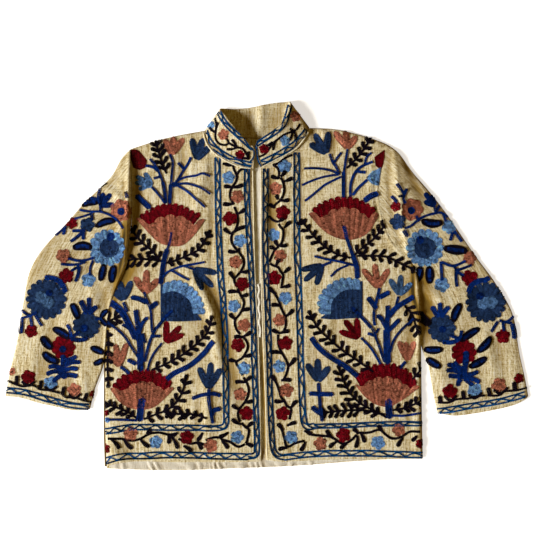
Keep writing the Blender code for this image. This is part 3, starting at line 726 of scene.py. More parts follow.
# Tulips: (thread, width of a petal, root, tips)
TULIPS = {
    "front_right": [
        ("rose", 7.0, (172, 155), [(165, 140), (174, 137), (184, 139)]),
        ("slate", 7.0, (197, 160), [(192, 139), (203, 139), (210, 147)]),
        ("dusk", 5.0, (152, 184), [(145, 173), (136, 176.5), (135, 183), (139, 190)]),
        ("slate", 6.5, (194, 269), [(217, 273), (213, 287), (203, 290)]),
        ("rose", 7.0, (146, 293), [(135, 277), (147, 270), (159, 279)]),
        ("slate", 7.0, (124, 300), [(111, 288), (120, 281), (132, 281)]),
        ("crimson", 6.4, (166, 342), [(167, 321), (181, 326), (184, 334)]),
        ("rose", 6.6, (120, 366), [(109, 353), (116, 344), (127, 343)]),
        ("slate", 7.0, (209, 388), [(199, 367), (211, 362), (221, 368)]),
    ],
    "front_left": [
        ("rose", 7.0, (347, 149), [(334, 132), (345, 131), (356, 137)]),
        ("slate", 7.2, (326, 154), [(314, 134), (328, 132), (309, 144)]),
        ("slate", 6.5, (322, 265), [(301, 270), (304, 281), (316, 285)]),
        ("rose", 6.6, (377, 288), [(362, 269), (374, 264), (388, 269)]),
        ("dusk", 6.2, (399, 295), [(389, 279), (400, 275), (411, 283)]),
        ("crimson", 6.4, (358, 338), [(339, 331), (344, 320), (356, 318)]),
        ("rose", 6.8, (407, 360), [(398, 341), (405, 342), (414, 341)]),
        ("slate", 7.2, (318, 381), [(306, 363), (317, 358), (329, 366)]),
    ],
    "sleeve_right": [("navy", 5.6, (101, 206), [(104, 193), (112, 194), (115, 205)])],
    "sleeve_left": [("navy", 5.6, (434, 206), [(424, 193), (431, 195), (423, 202)])],
}

# Fans: foot line of the rose part, line between rose and red, and top line of the red part, which has only
# some points of its foot
RED_PART = slice(1, 9)
FANS = {
    "front_right": [
        (
            [(136, 218), (148, 231), (159, 242), (171, 246), (183, 245), (194, 235), (206, 219)],
            [(135, 217), (143, 220), (150, 225), (157, 219), (165, 216), (172, 215), (180, 216), (188, 219),
             (194, 225), (200, 220), (206, 219)],
            [(139, 216), (146, 211), (156, 206), (171, 203), (184, 206), (194, 211), (202, 214)],
        ),
        (
            [(110, 388), (118, 399), (130, 407), (143, 409), (155, 406), (166, 396), (175, 387)],
            [(110, 387), (117, 388), (124, 390), (132, 384), (141, 381), (150, 381), (158, 385), (164, 389),
             (170, 387), (175, 387)],
            [(112, 386), (118, 378), (127, 372), (143, 368), (156, 370), (166, 376), (173, 382)],
        ),
    ],
    "front_left": [
        (
            [(307, 213), (318, 225), (330, 235), (346, 240), (361, 237), (371, 228), (379, 214)],
            [(307, 213), (314, 213), (321, 218), (330, 211), (340, 208), (352, 208), (361, 212), (368, 218),
             (374, 213), (379, 214)],
            [(311, 210), (318, 204), (329, 199), (344, 196), (358, 199), (368, 204), (376, 209)],
        ),
        (
            [(354, 383), (362, 393), (374, 403), (388, 406), (400, 400), (411, 392), (420, 386)],
            [(354, 383), (360, 386), (367, 381), (376, 377), (388, 376), (398, 379), (405, 384), (410, 388),
             (415, 385), (420, 386)],
            [(354, 376), (361, 369), (372, 364), (387, 362), (400, 365), (409, 371), (416, 381)],
        ),
    ],
}

# Half flowers between the sprays, with a scalloped edge, and buds: (thread, layer, depth of the notches,
# foot line, top line)
HALF_FLOWERS = {
    "front_right": [
        ("slate", 0, 0.0, [(161, 320), (172, 321), (186, 321), (202, 320)],
         [(161, 284), (175, 290), (190, 296), (195, 312)]),
        ("sky", 1, 0.25, [(163, 293), (176, 291), (190, 300), (194, 314)],
         [(164, 283), (178, 280), (193, 287), (203, 300), (206, 314)]),
        ("wine", 0, 0.0, [(134, 168), (140, 170), (146, 168)], [(129, 151), (138, 151), (147, 161)]),
    ],
    "front_left": [
        ("slate", 0, 0.0, [(362, 318), (350, 318), (334, 319), (320, 318)],
         [(362, 281), (345, 288), (334, 295), (330, 312)]),
        ("sky", 1, 0.25, [(360, 289), (344, 290), (332, 300), (330, 314)],
         [(359, 279), (341, 278), (325, 287), (317, 300), (319, 314)]),
        ("crimson", 0, 0.0, [(375, 166), (380, 169), (383, 162)], [(374, 158), (379, 154), (385, 150)]),
        ("sky", 0, 0.0, [(366, 178), (371, 184), (378, 186)], [(372, 172), (377, 170), (380, 168)]),
    ],
}

# Large round flowers: (middle, rays or None, patches, cap or None)
# Rays: (inner radius, outer radius, thread, lobes)
# Patches: (middle, radius, thread, lobes, depth of the notches, layer)
# Cap: (points, width)
ROUND_FLOWERS = {
    "front_right": [
        ((149, 184), None, [((149, 184), 4.6, "dusk", 5, 0.22, 1)], None),
    ],
    "sleeve_right": [
        ((108, 248), (8, 18.5, "sky", 14),
         [((110, 248), 10, "slate", 9, 0.12, 1), ((111.5, 237), 4.2, "navy", 5, 0.1, 2)], None),
        ((47, 299), (2, 20.5, "slate", 16),
         [((42, 297), 6.4, "dusk", 5, 0.25, 2), ((49, 302), 6.6, "dusk", 5, 0.25, 2),
          ((50, 293), 3.2, "navy", 5, 0.1, 3)],
         ([(45, 277), (56, 279), (63, 284), (67, 293)], 4.8)),
        ((87, 325), (0, 13.5, "slate", 11), [((85, 328), 4.0, "navy", 5, 0.1, 2)], None),
        ((64, 347), (0, 12.0, "crimson", 9), [((63.5, 349), 3.6, "navy", 5, 0.1, 2)], None),
        ((122, 211), None,
         [((122, 211), 11.5, "rose", 7, 0.25, 0), ((122.5, 212), 3.8, "navy", 5, 0.1, 2)], None),
    ],
    "sleeve_left": [
        ((424, 248), (9, 19.0, "sky", 14),
         [((424, 248), 11, "slate", 9, 0.12, 1), ((419, 240), 4.2, "navy", 5, 0.1, 2)], None),
        ((485, 302), (2, 20.5, "slate", 16),
         [((482, 303), 6.4, "dusk", 5, 0.25, 2), ((490, 302), 6.8, "dusk", 5, 0.25, 2),
          ((479, 296), 4.0, "navy", 5, 0.1, 3)],
         ([(467, 294), (470, 286), (477, 281), (484, 280), (489, 277)], 5.0)),
        ((441, 328), (0, 14.0, "slate", 11), [((442, 329), 3.6, "navy", 5, 0.1, 2)], None),
        ((463, 352), (0, 12.5, "crimson", 9), [((465, 354), 3.4, "navy", 5, 0.1, 2)], None),
        ((411, 210), None,
         [((411, 210), 11.5, "rose", 7, 0.25, 0), ((410, 211), 3.8, "navy", 5, 0.1, 2)], None),
    ],
}

# Strokes of the sprays: (kind, width, points), and the threads of each kind and of its core
STROKE_KINDS = {
    "stem": ("navy", None),
    "leaf": ("plum", "navy"),
    "shoot": ("plum", None),
    "line": ("blue", None),
}
STROKES = {
    "front_right": [
        ("stem", 2.4, [(170, 154), (173, 163), (172, 175), (171, 188)]),
        ("stem", 3.8, [(171, 184), (170, 204)]),
        ("stem", 2.4, [(150, 159), (155, 165), (160, 174), (164, 185)]),
        ("stem", 3.6, [(163, 182), (165, 192), (166, 204)]),
        ("stem", 2.6, [(146, 166), (154, 168), (158, 172)]),
        ("stem", 2.6, [(154, 179), (161, 177)]),
        ("stem", 2.4, [(152, 187), (160, 196), (165, 203)]),
        ("stem", 2.4, [(192, 157), (188, 165), (183, 172), (178, 180), (174, 187)]),
        ("stem", 2.8, [(178, 163), (184, 169)]),
        ("stem", 2.2, [(175, 182), (185, 178), (197, 176), (203, 174), (211, 177)]),
        ("stem", 2.2, [(173, 185), (187, 184), (198, 187), (204, 190), (211, 195)]),
        ("stem", 2.2, [(176, 185), (188, 192), (198, 201), (206, 208)]),
        ("stem", 5.0, [(172, 186), (178, 184)]),
        ("stem", 5.5, [(136, 195), (151, 209)]),
        ("stem", 2.2, [(172, 232), (170, 243), (167, 250)]),
        ("stem", 4.8, [(168, 248), (164, 262), (161, 285)]),
        ("stem", 2.2, [(163, 278), (168, 272), (180, 267), (195, 264), (206, 262)]),
        ("stem", 2.2, [(171, 270), (180, 275), (190, 280)]),
        ("stem", 2.2, [(184, 266), (195, 270)]),
        ("stem", 3.4, [(173, 310), (165, 318), (157, 328)]),
        ("stem", 2.8, [(157, 326), (150, 342), (145, 362)]),
        ("stem", 6.4, [(141, 371), (141, 350), (140, 334)]),
        ("stem", 5.0, [(140, 338), (138, 322), (136, 309)]),
        ("stem", 6.2, [(137, 340), (129, 323), (121, 310), (109, 301)]),
        ("stem", 3.6, [(140, 333), (143, 323), (148, 317)]),
        ("stem", 3.0, [(135, 333), (129, 328), (123, 324)]),
        ("stem", 3.0, [(128, 312), (124, 302)]),
        ("stem", 2.4, [(144, 291), (147, 300), (151, 310), (152, 325), (153, 333)]),
        ("stem", 4.8, [(148, 303), (140, 299), (131, 297)]),
        ("stem", 4.8, [(151, 309), (153, 306), (158, 302)]),
        ("stem", 2.8, [(151, 336), (161, 336)]),
        ("stem", 2.8, [(146, 343), (143, 333)]),
        ("stem", 2.4, [(142, 362), (134, 350), (125, 336), (115, 327), (106, 321)]),
        ("stem", 2.2, [(163, 342), (155, 352), (150, 362), (148, 371)]),
        ("stem", 5.0, [(166, 380), (174, 373), (190, 365), (203, 354), (211, 344), (215, 340)]),
        ("stem", 3.2, [(121, 366), (130, 373)]),
        ("stem", 3.8, [(128, 359), (137, 364)]),
        ("stem", 6.6, [(143, 397), (141, 409), (140, 421)]),
        ("stem", 2.2, [(106, 419), (120, 419), (138, 420)]),
        ("stem", 3.4, [(209, 388), (209, 400), (211, 412), (213, 423)]),
        ("stem", 3.8, [(192, 398), (200, 395), (212, 393), (221, 395)]),
        ("stem", 4.6, [(212, 416), (213, 410), (221, 408)]),
        ("stem", 4.0, [(106, 297), (110, 308)]),
    ],
    "front_left": [
        ("stem", 2.4, [(347, 149), (345, 162), (343, 175)]),
        ("stem", 3.6, [(343, 172), (343, 185), (343, 198)]),
        ("stem", 2.6, [(329, 154), (332, 162), (336, 168), (339, 175)]),
        ("stem", 2.2, [(334, 163), (337, 158), (341, 153)]),
        ("stem", 2.2, [(303, 169), (318, 169), (330, 171), (339, 175)]),
        ("stem", 2.2, [(301, 186), (312, 181), (325, 177), (339, 175)]),
        ("stem", 2.2, [(304, 202), (315, 193), (325, 185), (341, 177)]),
        ("stem", 2.6, [(350, 198), (350, 186), (354, 174), (361, 167), (373, 162)]),
        ("stem", 2.2, [(364, 165), (366, 158), (371, 153)]),
        ("stem", 2.8, [(355, 172), (365, 173)]),
        ("stem", 2.6, [(352, 196), (358, 188), (367, 180)]),
        ("stem", 5.6, [(363, 202), (371, 196), (378, 194)]),
        ("stem", 3.6, [(343, 226), (345, 232), (346, 238)]),
        ("stem", 3.4, [(346, 237), (350, 249), (354, 260)]),
        ("stem", 5.0, [(352, 255), (356, 266), (357, 279)]),
        ("stem", 2.2, [(313, 256), (325, 259), (340, 262), (356, 266)]),
        ("stem", 2.2, [(330, 277), (337, 270), (348, 265)]),
        ("stem", 2.6, [(321, 266), (331, 262)]),
        ("stem", 3.2, [(351, 307), (362, 318), (371, 328)]),
        ("stem", 2.6, [(371, 327), (377, 342), (384, 362)]),
        ("stem", 6.8, [(387, 364), (386, 345), (386, 328)]),
        ("stem", 4.6, [(386, 330), (387, 316), (387, 305)]),
        ("stem", 4.4, [(387, 330), (381, 319), (376, 315)]),
        ("stem", 4.2, [(387, 331), (393, 325), (399, 319)]),
        ("stem", 5.0, [(387, 318), (395, 308), (404, 302), (414, 296)]),
        ("stem", 2.4, [(398, 296), (395, 306)]),
        ("stem", 2.8, [(379, 287), (376, 300), (373, 314), (374, 326)]),
        ("stem", 5.0, [(376, 309), (371, 302), (367, 297)]),
        ("stem", 5.0, [(378, 298), (383, 295), (389, 292)]),
        ("stem", 2.8, [(367, 333), (376, 336)]),
        ("stem", 2.6, [(375, 333), (378, 328)]),
        ("stem", 2.4, [(389, 353), (393, 340), (402, 328), (414, 318)]),
        ("stem", 2.4, [(360, 337), (369, 346), (375, 355), (380, 364)]),
        ("stem", 3.0, [(399, 368), (405, 361)]),
        ("stem", 5.0, [(358, 377), (345, 366), (330, 357), (318, 347), (310, 336)]),
        ("stem", 6.8, [(388, 398), (388, 408), (389, 418)]),
        ("stem", 2.2, [(391, 415), (405, 415), (421, 412)]),
        ("stem", 3.4, [(318, 382), (319, 395), (320, 408), (322, 421)]),
        ("stem", 4.2, [(308, 393), (333, 394)]),
        ("stem", 4.8, [(311, 406), (316, 410), (322, 414)]),
    ],
    "sleeve_right": [
        ("stem", 2.6, [(101, 188), (99, 197), (101, 206), (101, 212)]),
        ("shoot", 2.6, [(101, 188), (107, 183)]),
        ("leaf", 7.5, [(82, 206), (90, 202), (99, 203)]),
        ("stem", 3.0, [(91, 198), (99, 200)]),
        ("stem", 2.2, [(79, 210), (90, 212), (101, 212), (112, 216), (119, 221), (125, 230)]),
        ("stem", 2.2, [(75, 219), (83, 217), (92, 214)]),
        ("stem", 2.8, [(92, 213), (93, 221)]),
        ("stem", 2.2, [(56, 236), (62, 231), (67, 226)]),
        ("stem", 3.0, [(66, 227), (64, 235)]),
        ("stem", 3.0, [(73, 231), (84, 231)]),
        ("stem", 3.0, [(71, 242), (79, 236), (86, 230)]),
        ("stem", 3.4, [(84, 240), (84, 232)]),
        ("leaf", 6.8, [(96, 227), (106, 222), (117, 221)]),
        ("stem", 3.0, [(127, 192), (129, 199)]),
        ("leaf", 8.0, [(73, 248), (83, 246), (93, 248)]),
        ("stem", 2.6, [(68, 258), (80, 261), (95, 258)]),
        ("stem", 2.6, [(61, 264), (75, 265), (86, 262)]),
        ("stem", 3.4, [(80, 266), (79, 274), (76, 282)]),
        ("stem", 2.6, [(80, 266), (72, 271)]),
        ("stem", 2.4, [(94, 260), (91, 268), (91, 276)]),
        ("leaf", 6.6, [(105, 264), (103, 272), (101, 281)]),
        ("leaf", 7.4, [(115, 265), (113, 274), (112, 283)]),
        ("stem", 2.6, [(22, 310), (30, 315), (38, 312)]),
        ("stem", 2.8, [(31, 315), (33, 326)]),
        ("stem", 2.8, [(35, 313), (43, 326)]),
        ("stem", 2.2, [(31, 316), (22, 318)]),
        ("stem", 4.6, [(22, 317), (22, 326), (21, 334)]),
        ("stem", 5.0, [(81, 300), (84, 306), (88, 314)]),
        ("stem", 4.6, [(90, 297), (90, 312)]),
        ("stem", 4.6, [(98, 306), (94, 309), (90, 314)]),
        ("leaf", 7.2, [(72, 303), (76, 310), (79, 319)]),
        ("leaf", 7.2, [(53, 328), (62, 332), (71, 338)]),
        ("leaf", 7.6, [(42, 336), (47, 343), (53, 349)]),
        ("leaf", 7.6, [(43, 352), (50, 358), (60, 362)]),
        ("stem", 4.2, [(71, 338), (80, 340), (89, 338)]),
        ("stem", 3.0, [(68, 324), (71, 330), (72, 337)]),
        ("stem", 3.2, [(73, 337), (80, 331)]),
        ("stem", 2.6, [(96, 319), (102, 318)]),
        ("leaf", 5.0, [(101, 318), (104, 313), (109, 310)]),
        ("leaf", 5.0, [(101, 318), (104, 322), (109, 326)]),
        ("stem", 5.2, [(64, 354), (64, 366), (65, 379)]),
        ("stem", 4.2, [(65, 360), (71, 359), (77, 356)]),
        ("stem", 4.0, [(66, 365), (73, 362), (81, 362)]),
        ("stem", 4.2, [(66, 370), (72, 368), (79, 369)]),
        ("stem", 4.4, [(66, 374), (72, 375), (79, 376)]),
        ("stem", 4.4, [(63, 369), (56, 366), (49, 367)]),
        ("stem", 4.4, [(63, 372), (55, 371), (47, 374)]),
        ("stem", 4.2, [(63, 374), (57, 378), (54, 382)]),
        ("leaf", 6.2, [(91, 347), (98, 350), (105, 353)]),
        ("leaf", 5.4, [(94, 364), (99, 362), (104, 359)]),
        ("shoot", 3.8, [(18, 375), (17, 385)]),
        ("shoot", 3.8, [(42, 380), (41, 388)]),
        ("shoot", 3.8, [(65, 386), (63, 395)]),
        ("shoot", 3.6, [(88, 392), (85, 400)]),
        ("shoot", 2.0, [(7, 380), (17, 384), (24, 386), (34, 385), (41, 389), (50, 390), (62, 393)]),
        ("shoot", 2.0, [(62, 393), (67, 397), (75, 397), (85, 400), (92, 402)]),
        ("shoot", 2.4, [(22, 381), (29, 385), (36, 381)]),
        ("shoot", 2.4, [(45, 386), (51, 390), (58, 386)]),
        ("shoot", 2.4, [(69, 394), (75, 398), (82, 393)]),
    ],
    "sleeve_left": [
        ("stem", 3.0, [(391, 196), (397, 203)]),
        ("stem", 3.0, [(396, 184), (399, 189), (403, 195)]),
        ("stem", 3.0, [(406, 189), (403, 195), (402, 200), (404, 204)]),
        ("stem", 2.2, [(397, 197), (403, 197)]),
        ("stem", 2.6, [(433, 206), (435, 213)]),
        ("stem", 2.6, [(439, 205), (435, 212)]),
        ("stem", 2.4, [(402, 229), (410, 226), (417, 220), (425, 216), (433, 214), (440, 213), (448, 218)]),
        ("stem", 2.4, [(442, 214), (445, 222)]),
        ("stem", 2.4, [(415, 216), (418, 222)]),
        ("leaf", 7.6, [(420, 221), (431, 224), (442, 223)]),
        ("stem", 3.0, [(452, 232), (449, 241)]),
        ("stem", 3.0, [(453, 231), (461, 242)]),
        ("stem", 3.8, [(403, 230), (406, 237)]),
        ("leaf", 8.6, [(442, 248), (454, 250), (467, 251)]),
        ("stem", 2.6, [(440, 262), (452, 266), (465, 261)]),
        ("stem", 2.6, [(453, 266), (456, 270), (463, 268), (471, 265)]),
        ("stem", 3.0, [(455, 269), (455, 279), (456, 287)]),
        ("stem", 3.0, [(456, 272), (463, 276)]),
        ("stem", 3.0, [(440, 261), (441, 281)]),
        ("leaf", 7.8, [(420, 266), (418, 275), (414, 284)]),
        ("leaf", 7.8, [(428, 266), (429, 275), (429, 284)]),
        ("stem", 5.0, [(431, 306), (434, 311), (438, 317)]),
        ("stem", 4.6, [(439, 302), (440, 316)]),
        ("stem", 4.8, [(448, 306), (444, 311), (440, 317)]),
        ("leaf", 7.6, [(460, 303), (455, 312), (452, 322)]),
        ("stem", 3.0, [(461, 330), (459, 338)]),
        ("stem", 4.2, [(441, 342), (452, 342), (460, 337)]),
        ("stem", 3.2, [(449, 335), (459, 339)]),
        ("leaf", 7.0, [(479, 328), (470, 333), (459, 341)]),
        ("leaf", 7.4, [(490, 336), (484, 345), (476, 352)]),
        ("leaf", 7.2, [(486, 357), (478, 362), (468, 367)]),
        ("stem", 5.6, [(465, 354), (464, 366), (462, 379)]),
        ("stem", 4.4, [(461, 369), (454, 366), (446, 364)]),
        ("stem", 4.4, [(461, 373), (453, 370), (445, 370)]),
        ("stem", 4.6, [(461, 376), (454, 376), (447, 375)]),
        ("stem", 4.4, [(461, 378), (458, 381), (457, 386)]),
        ("stem", 4.2, [(463, 370), (457, 366), (453, 361)]),
        ("stem", 4.4, [(463, 374), (470, 374), (477, 371)]),
        ("stem", 4.4, [(463, 376), (471, 378), (479, 382)]),
        ("stem", 4.0, [(463, 378), (468, 382), (472, 385)]),
        ("shoot", 8.0, [(418, 311), (422, 318), (430, 325)]),
        ("leaf", 7.0, [(423, 349), (433, 350), (442, 349)]),
        ("leaf", 7.0, [(426, 358), (433, 363), (440, 367)]),
        ("stem", 3.0, [(497, 321), (493, 327), (490, 332)]),
        ("stem", 2.6, [(498, 320), (505, 322), (513, 316)]),
        ("stem", 3.0, [(502, 322), (503, 331)]),
        ("stem", 2.6, [(504, 322), (511, 323)]),
        ("stem", 5.4, [(511, 323), (513, 331), (514, 339)]),
        ("shoot", 4.0, [(439, 395), (440, 403)]),
        ("shoot", 4.0, [(462, 390), (463, 398)]),
        ("shoot", 4.2, [(487, 387), (489, 395)]),
        ("shoot", 4.6, [(513, 381), (514, 390)]),
        ("shoot", 2.0, [(436, 402), (448, 402), (455, 399), (468, 398), (475, 396), (485, 395)]),
        ("shoot", 2.0, [(485, 395), (498, 395), (503, 391), (515, 390), (527, 387)]),
        ("shoot", 2.4, [(443, 395), (449, 400), (456, 395)]),
        ("shoot", 2.4, [(467, 394), (474, 398), (481, 392)]),
        ("shoot", 2.4, [(492, 389), (499, 393), (507, 387)]),
    ],
    "collar": [
        ("line", 1.4, [(252, 149), (254, 153), (253, 159), (249, 163)]),
        ("line", 1.4, [(256, 146), (257, 152), (258, 160), (261, 167)]),
    ],
}

# Stage

# The floor: half its width in metres, its level, its surface's roughness, its colour as it is seen and as it
# lights the cloth, and its own glow where it is seen
FLOOR_REACH = 6
FLOOR_LEVEL = -0.2 * MM
FLOOR_ROUGHNESS = 0.9
FLOOR_COLOUR = (0.93, 0.93, 0.93, 1)
FLOOR_BOUNCE = (0.30, 0.20, 0.05, 1)
FLOOR_GLOW = 0.6

# The dim surround, the main light's colour, and the width of the camera's film in mm
SURROUND_COLOUR = (1.0, 0.62, 0.12, 1)
SURROUND_STRENGTH = 0.15
LIGHT_TINT = (1.0, 0.98, 0.94)
FILM_WIDTH = 36.0


def on_grid(points):
    """Squares of the drawing grid as points on the jacket, in metres."""
    squares = np.asarray(points, float).reshape(-1, 2)
    return (squares - ORIGIN_SQUARE) * (SQUARE, -SQUARE)


def smooth_line(points, steps=8):
    """A dense smooth line through the points, given and returned as an array of rows."""
    rows = np.asarray(points, float)
    if len(rows) < 3:
        shares = np.linspace(0, 1, steps + 1)[:, None]
        return rows[:1] * (1 - shares) + rows[-1:] * shares
    padded = np.vstack([2 * rows[0] - rows[1], rows, 2 * rows[-1] - rows[-2]])
    part = np.linspace(0, 1, steps, endpoint=False)[:, None]
    pieces = []
    for before, first, second, after in zip(padded, padded[1:], padded[2:], padded[3:]):
        pieces.append(
            0.5
            * (
                2 * first
                + (second - before) * part
                + (2 * before - 5 * first + 4 * second - after) * part**2
                + (3 * first - before - 3 * second + after) * part**3
            )
        )
    return np.vstack([*pieces, rows[-1:]])


def spaced(line, count):
    """That many points at even distances along a line, both ends included."""
    run = np.concatenate([[0.0], np.cumsum(np.linalg.norm(np.diff(line, axis=0), axis=1))])
    at = np.linspace(0, run[-1], count)
    return np.column_stack([np.interp(at, run, line[:, axis]) for axis in range(line.shape[1])])


def length_of(line):
    """The length of a line of points."""
    return float(np.linalg.norm(np.diff(line, axis=0), axis=1).sum())


def offset_from(line, plan):
    """How far points are from a line, and at which share of the line's steps they are nearest to it."""
    ways = np.diff(line, axis=0)
    away = plan[:, None] - line[None, :-1]
    share = np.clip((away * ways).sum(axis=2) / (ways**2).sum(axis=1), 0, 1)
    gaps = np.linalg.norm(away - share[..., None] * ways, axis=2)
    nearest = gaps.argmin(axis=1)
    rows = np.arange(len(plan))
    return gaps[rows, nearest], (nearest + share[rows, nearest]) / len(ways)


def beside(line, distance):
    """A line moved sideways, to its left for a positive distance, which may differ along it."""
    run = np.gradient(line, axis=0)
    run /= np.maximum(np.linalg.norm(run, axis=1), 1e-12)[:, None]
    return line + np.reshape(distance, (-1, 1)) * np.column_stack([-run[:, 1], run[:, 0]])


# Materials


def new_group(name, inputs, outputs):
    """A shader node group with these sockets: (label, type, default) and (label, type)."""
    group = bpy.data.node_groups.new(name, "ShaderNodeTree")
    for label, kind, default in inputs:
        socket = group.interface.new_socket(label, in_out="INPUT", socket_type=kind)
        if default is not None:
            socket.default_value = default
    for label, kind in outputs:
        group.interface.new_socket(label, in_out="OUTPUT", socket_type=kind)
    return group


class Nodes:
    """Adds nodes to a tree. An input is named by its label or its number, and takes a value or a socket."""

    def __init__(self, tree):
        self.tree = tree

    def join(self, value, socket):
        """Links a socket to this one, or sets a value here."""
        if isinstance(value, bpy.types.NodeSocket):
            self.tree.links.new(value, socket)
        else:
            socket.default_value = value

    def add(self, kind, inputs=(), **settings):
        """A node of this kind with its settings and its inputs."""
        node = self.tree.nodes.new(kind)
        for name, value in settings.items():
            setattr(node, name, value)
        for label, value in dict(inputs).items():
            self.join(value, node.inputs[label])
        return node

    def math(self, operation, *values, clamp=False):
        """The result of one sum."""
        inputs = dict(enumerate(values))
        return self.add("ShaderNodeMath", inputs, operation=operation, use_clamp=clamp).outputs[0]

    def noise(self, place, counts, detail, roughness):
        """A random pattern with so many features a metre along each axis."""
        stretched = self.add("ShaderNodeVectorMath", {0: place, 1: counts}, operation="MULTIPLY").outputs[0]
        inputs = {"Vector": stretched, "Scale": 1.0, "Detail": detail, "Roughness": roughness}
        return self.add("ShaderNodeTexNoise", inputs).outputs["Fac"]

    def wave(self, place, direction, count):
        """Parallel threads across one axis."""
        inputs = {"Vector": place, "Scale": count, "Distortion": WEAVE_DISTORTION}
        return self.add("ShaderNodeTexWave", inputs, bands_direction=direction).outputs["Fac"]

    def ramp(self, value, levels):
        """How far a value has gone from the first level to the second."""
        inputs = {"Value": value, 1: levels[0], 2: levels[1]}
        return self.add("ShaderNodeMapRange", inputs, interpolation_type="SMOOTHSTEP").outputs[0]

    def mix(self, share, first, second, blend="MIX"):
        """The first colour with a share of the second."""
        inputs = {0: share, 6: first, 7: second}
        return self.add("ShaderNodeMix", inputs, data_type="RGBA", blend_type=blend).outputs[2]


def handloom_group():
    """Colour and height of a slubby handwoven cloth, on coordinates in metres along its grain, with painted
    shade where it is given.
    """
    colour, number, vector = "NodeSocketColor", "NodeSocketFloat", "NodeSocketVector"
    group = new_group(
        "handloom",
        [
            ("Grain", vector, None),
            ("Cloth", colour, (0.8, 0.7, 0.45, 1)),
            ("Slub", colour, (0.45, 0.33, 0.14, 1)),
            ("Shade", colour, (0.3, 0.2, 0.05, 1)),
            ("Painted shade", number, 0.0),
            ("Slubs", number, 1.0),
        ],
        [("Colour", colour), ("Height", number)],
    )
    nodes = Nodes(group)
    given = nodes.add("NodeGroupInput").outputs
    streak = 0.0
    for counts, detail, share in STREAKS.values():
        uneven = nodes.noise(given["Grain"], counts, *detail)
        streak = nodes.math("MULTIPLY_ADD", uneven, share, streak)
    slub = nodes.math("MULTIPLY", nodes.ramp(streak, SLUB_LEVELS), given["Slubs"])
    light = nodes.math("MULTIPLY", nodes.ramp(streak, LIGHT_LEVELS), given["Slubs"])
    colour = nodes.mix(slub, given["Cloth"], given["Slub"])
    colour = nodes.mix(nodes.math("MULTIPLY", light, LIGHT_SHARE), colour, LIGHT_COLOUR)
    cloud = nodes.noise(given["Grain"], CLOUD_COUNTS, *CLOUD_DETAIL)
    patchy = nodes.math("MULTIPLY", nodes.ramp(cloud, CLOUD_LEVELS), CLOUD_SHARE)
    # Painted shade: the random broad patches and the painted shade mix the colour towards the shade colour,
    # and the deepest painted shade mixes it towards near black
    shaded = nodes.math("ADD", patchy, given["Painted shade"], clamp=True)
    colour = nodes.mix(shaded, colour, given["Shade"])
    colour = nodes.mix(nodes.ramp(given["Painted shade"], DEEP_SHADE_LEVELS), colour, DEEP_SHADE_COLOUR)
    threads = 0.0
    for direction, count in WEAVE.items():
        threads = nodes.math("ADD", threads, nodes.wave(given["Grain"], direction, count))
    height = nodes.math("MULTIPLY", streak, STREAK_HEIGHT)
    height = nodes.math("MULTIPLY_ADD", threads, WEAVE_HEIGHT, height)
    nodes.add("NodeGroupOutput", {"Colour": colour, "Height": height})
    return group


def floss_group():
    """Colour and height of embroidery thread: strands, and paler worn patches."""
    group = new_group(
        "floss",
        [("Place", "NodeSocketVector", None), ("Dye", "NodeSocketColor", (0.5, 0.5, 0.5, 1))],
        [("Colour", "NodeSocketColor"), ("Height", "NodeSocketFloat")],
    )
    nodes = Nodes(group)
    given = nodes.add("NodeGroupInput").outputs
    strands = nodes.noise(given["Place"], STRAND_COUNTS, *FLOSS_DETAIL)
    patches = nodes.noise(given["Place"], WEAR_COUNTS, *FLOSS_DETAIL)
    worn = nodes.math("MULTIPLY", nodes.ramp(patches, WEAR_LEVELS), WEAR_SHARE)
    colour = nodes.mix(worn, given["Dye"], WEAR_TONE, "MULTIPLY")
    twist = nodes.math("MULTIPLY", nodes.ramp(strands, STRAND_LEVELS), STRAND_SHARE)
    colour = nodes.mix(twist, colour, STRAND_TONE, "MULTIPLY")
    nodes.add("NodeGroupOutput", {"Colour": colour, "Height": strands})
    return group


def new_material(name, group, surface, find_values):
    """A fabric material: a node group gives its colour and bump, from the values found for its sockets."""
    material = bpy.data.materials.new(name)
    material.use_nodes = True
    nodes = Nodes(material.node_tree)
    shader = material.node_tree.nodes["Principled BSDF"]
    roughness, gloss, sheen, relief = surface
    shader.inputs["Roughness"].default_value = roughness
    shader.inputs["Specular IOR Level"].default_value = gloss
    shader.inputs["Sheen Weight"].default_value = sheen
    effect = nodes.add("ShaderNodeGroup", node_tree=group)
    for label, value in find_values(nodes).items():
        nodes.join(value, effect.inputs[label])
    height = {"Strength": 1.0, "Distance": relief, "Height": effect.outputs["Height"]}
    bump = nodes.add("ShaderNodeBump", height)
    nodes.join(effect.outputs["Colour"], shader.inputs["Base Color"])
    nodes.join(bump.outputs["Normal"], shader.inputs["Normal"])
    return material


def cloth_material(name, group, cloth, slubs, settings):
    """Handwoven cloth whose grain follows the piece's own UV map, with painted shade in its hollows and
    shaded places.
    """

    def find_values(nodes):
        return {
            "Grain": nodes.add("ShaderNodeUVMap", uv_map="grain").outputs["UV"],
            "Painted shade": nodes.add("ShaderNodeAttribute", attribute_name="painted_shade").outputs["Fac"],
            "Cloth": (*cloth, 1),
            "Slub": (*settings.slub_colour, 1),
            "Shade": (*settings.shade_colour, 1),
            "Slubs": slubs,
        }

    return new_material(name, group, CLOTH_SURFACE, find_values)


def thread_material(group):
    """Embroidery thread, dyed by each stitch's own colour."""

    def find_values(nodes):
        return {
            "Place": nodes.add("ShaderNodeTexCoord").outputs["Object"],
            "Dye": nodes.add("ShaderNodeAttribute", attribute_name="dye").outputs["Color"],
        }

    return new_material("embroidery_thread", group, THREAD_SURFACE, find_values)


# Cloth


def mesh_from(bm, name):
    """The mesh of a bmesh that is done with."""
    mesh = bpy.data.meshes.new(name)
    bm.to_mesh(mesh)
    bm.free()
    return mesh


def place(name, data):
    """A new object in the scene."""
    placed = bpy.data.objects.new(name, data)
    bpy.context.scene.collection.objects.link(placed)
    return placed


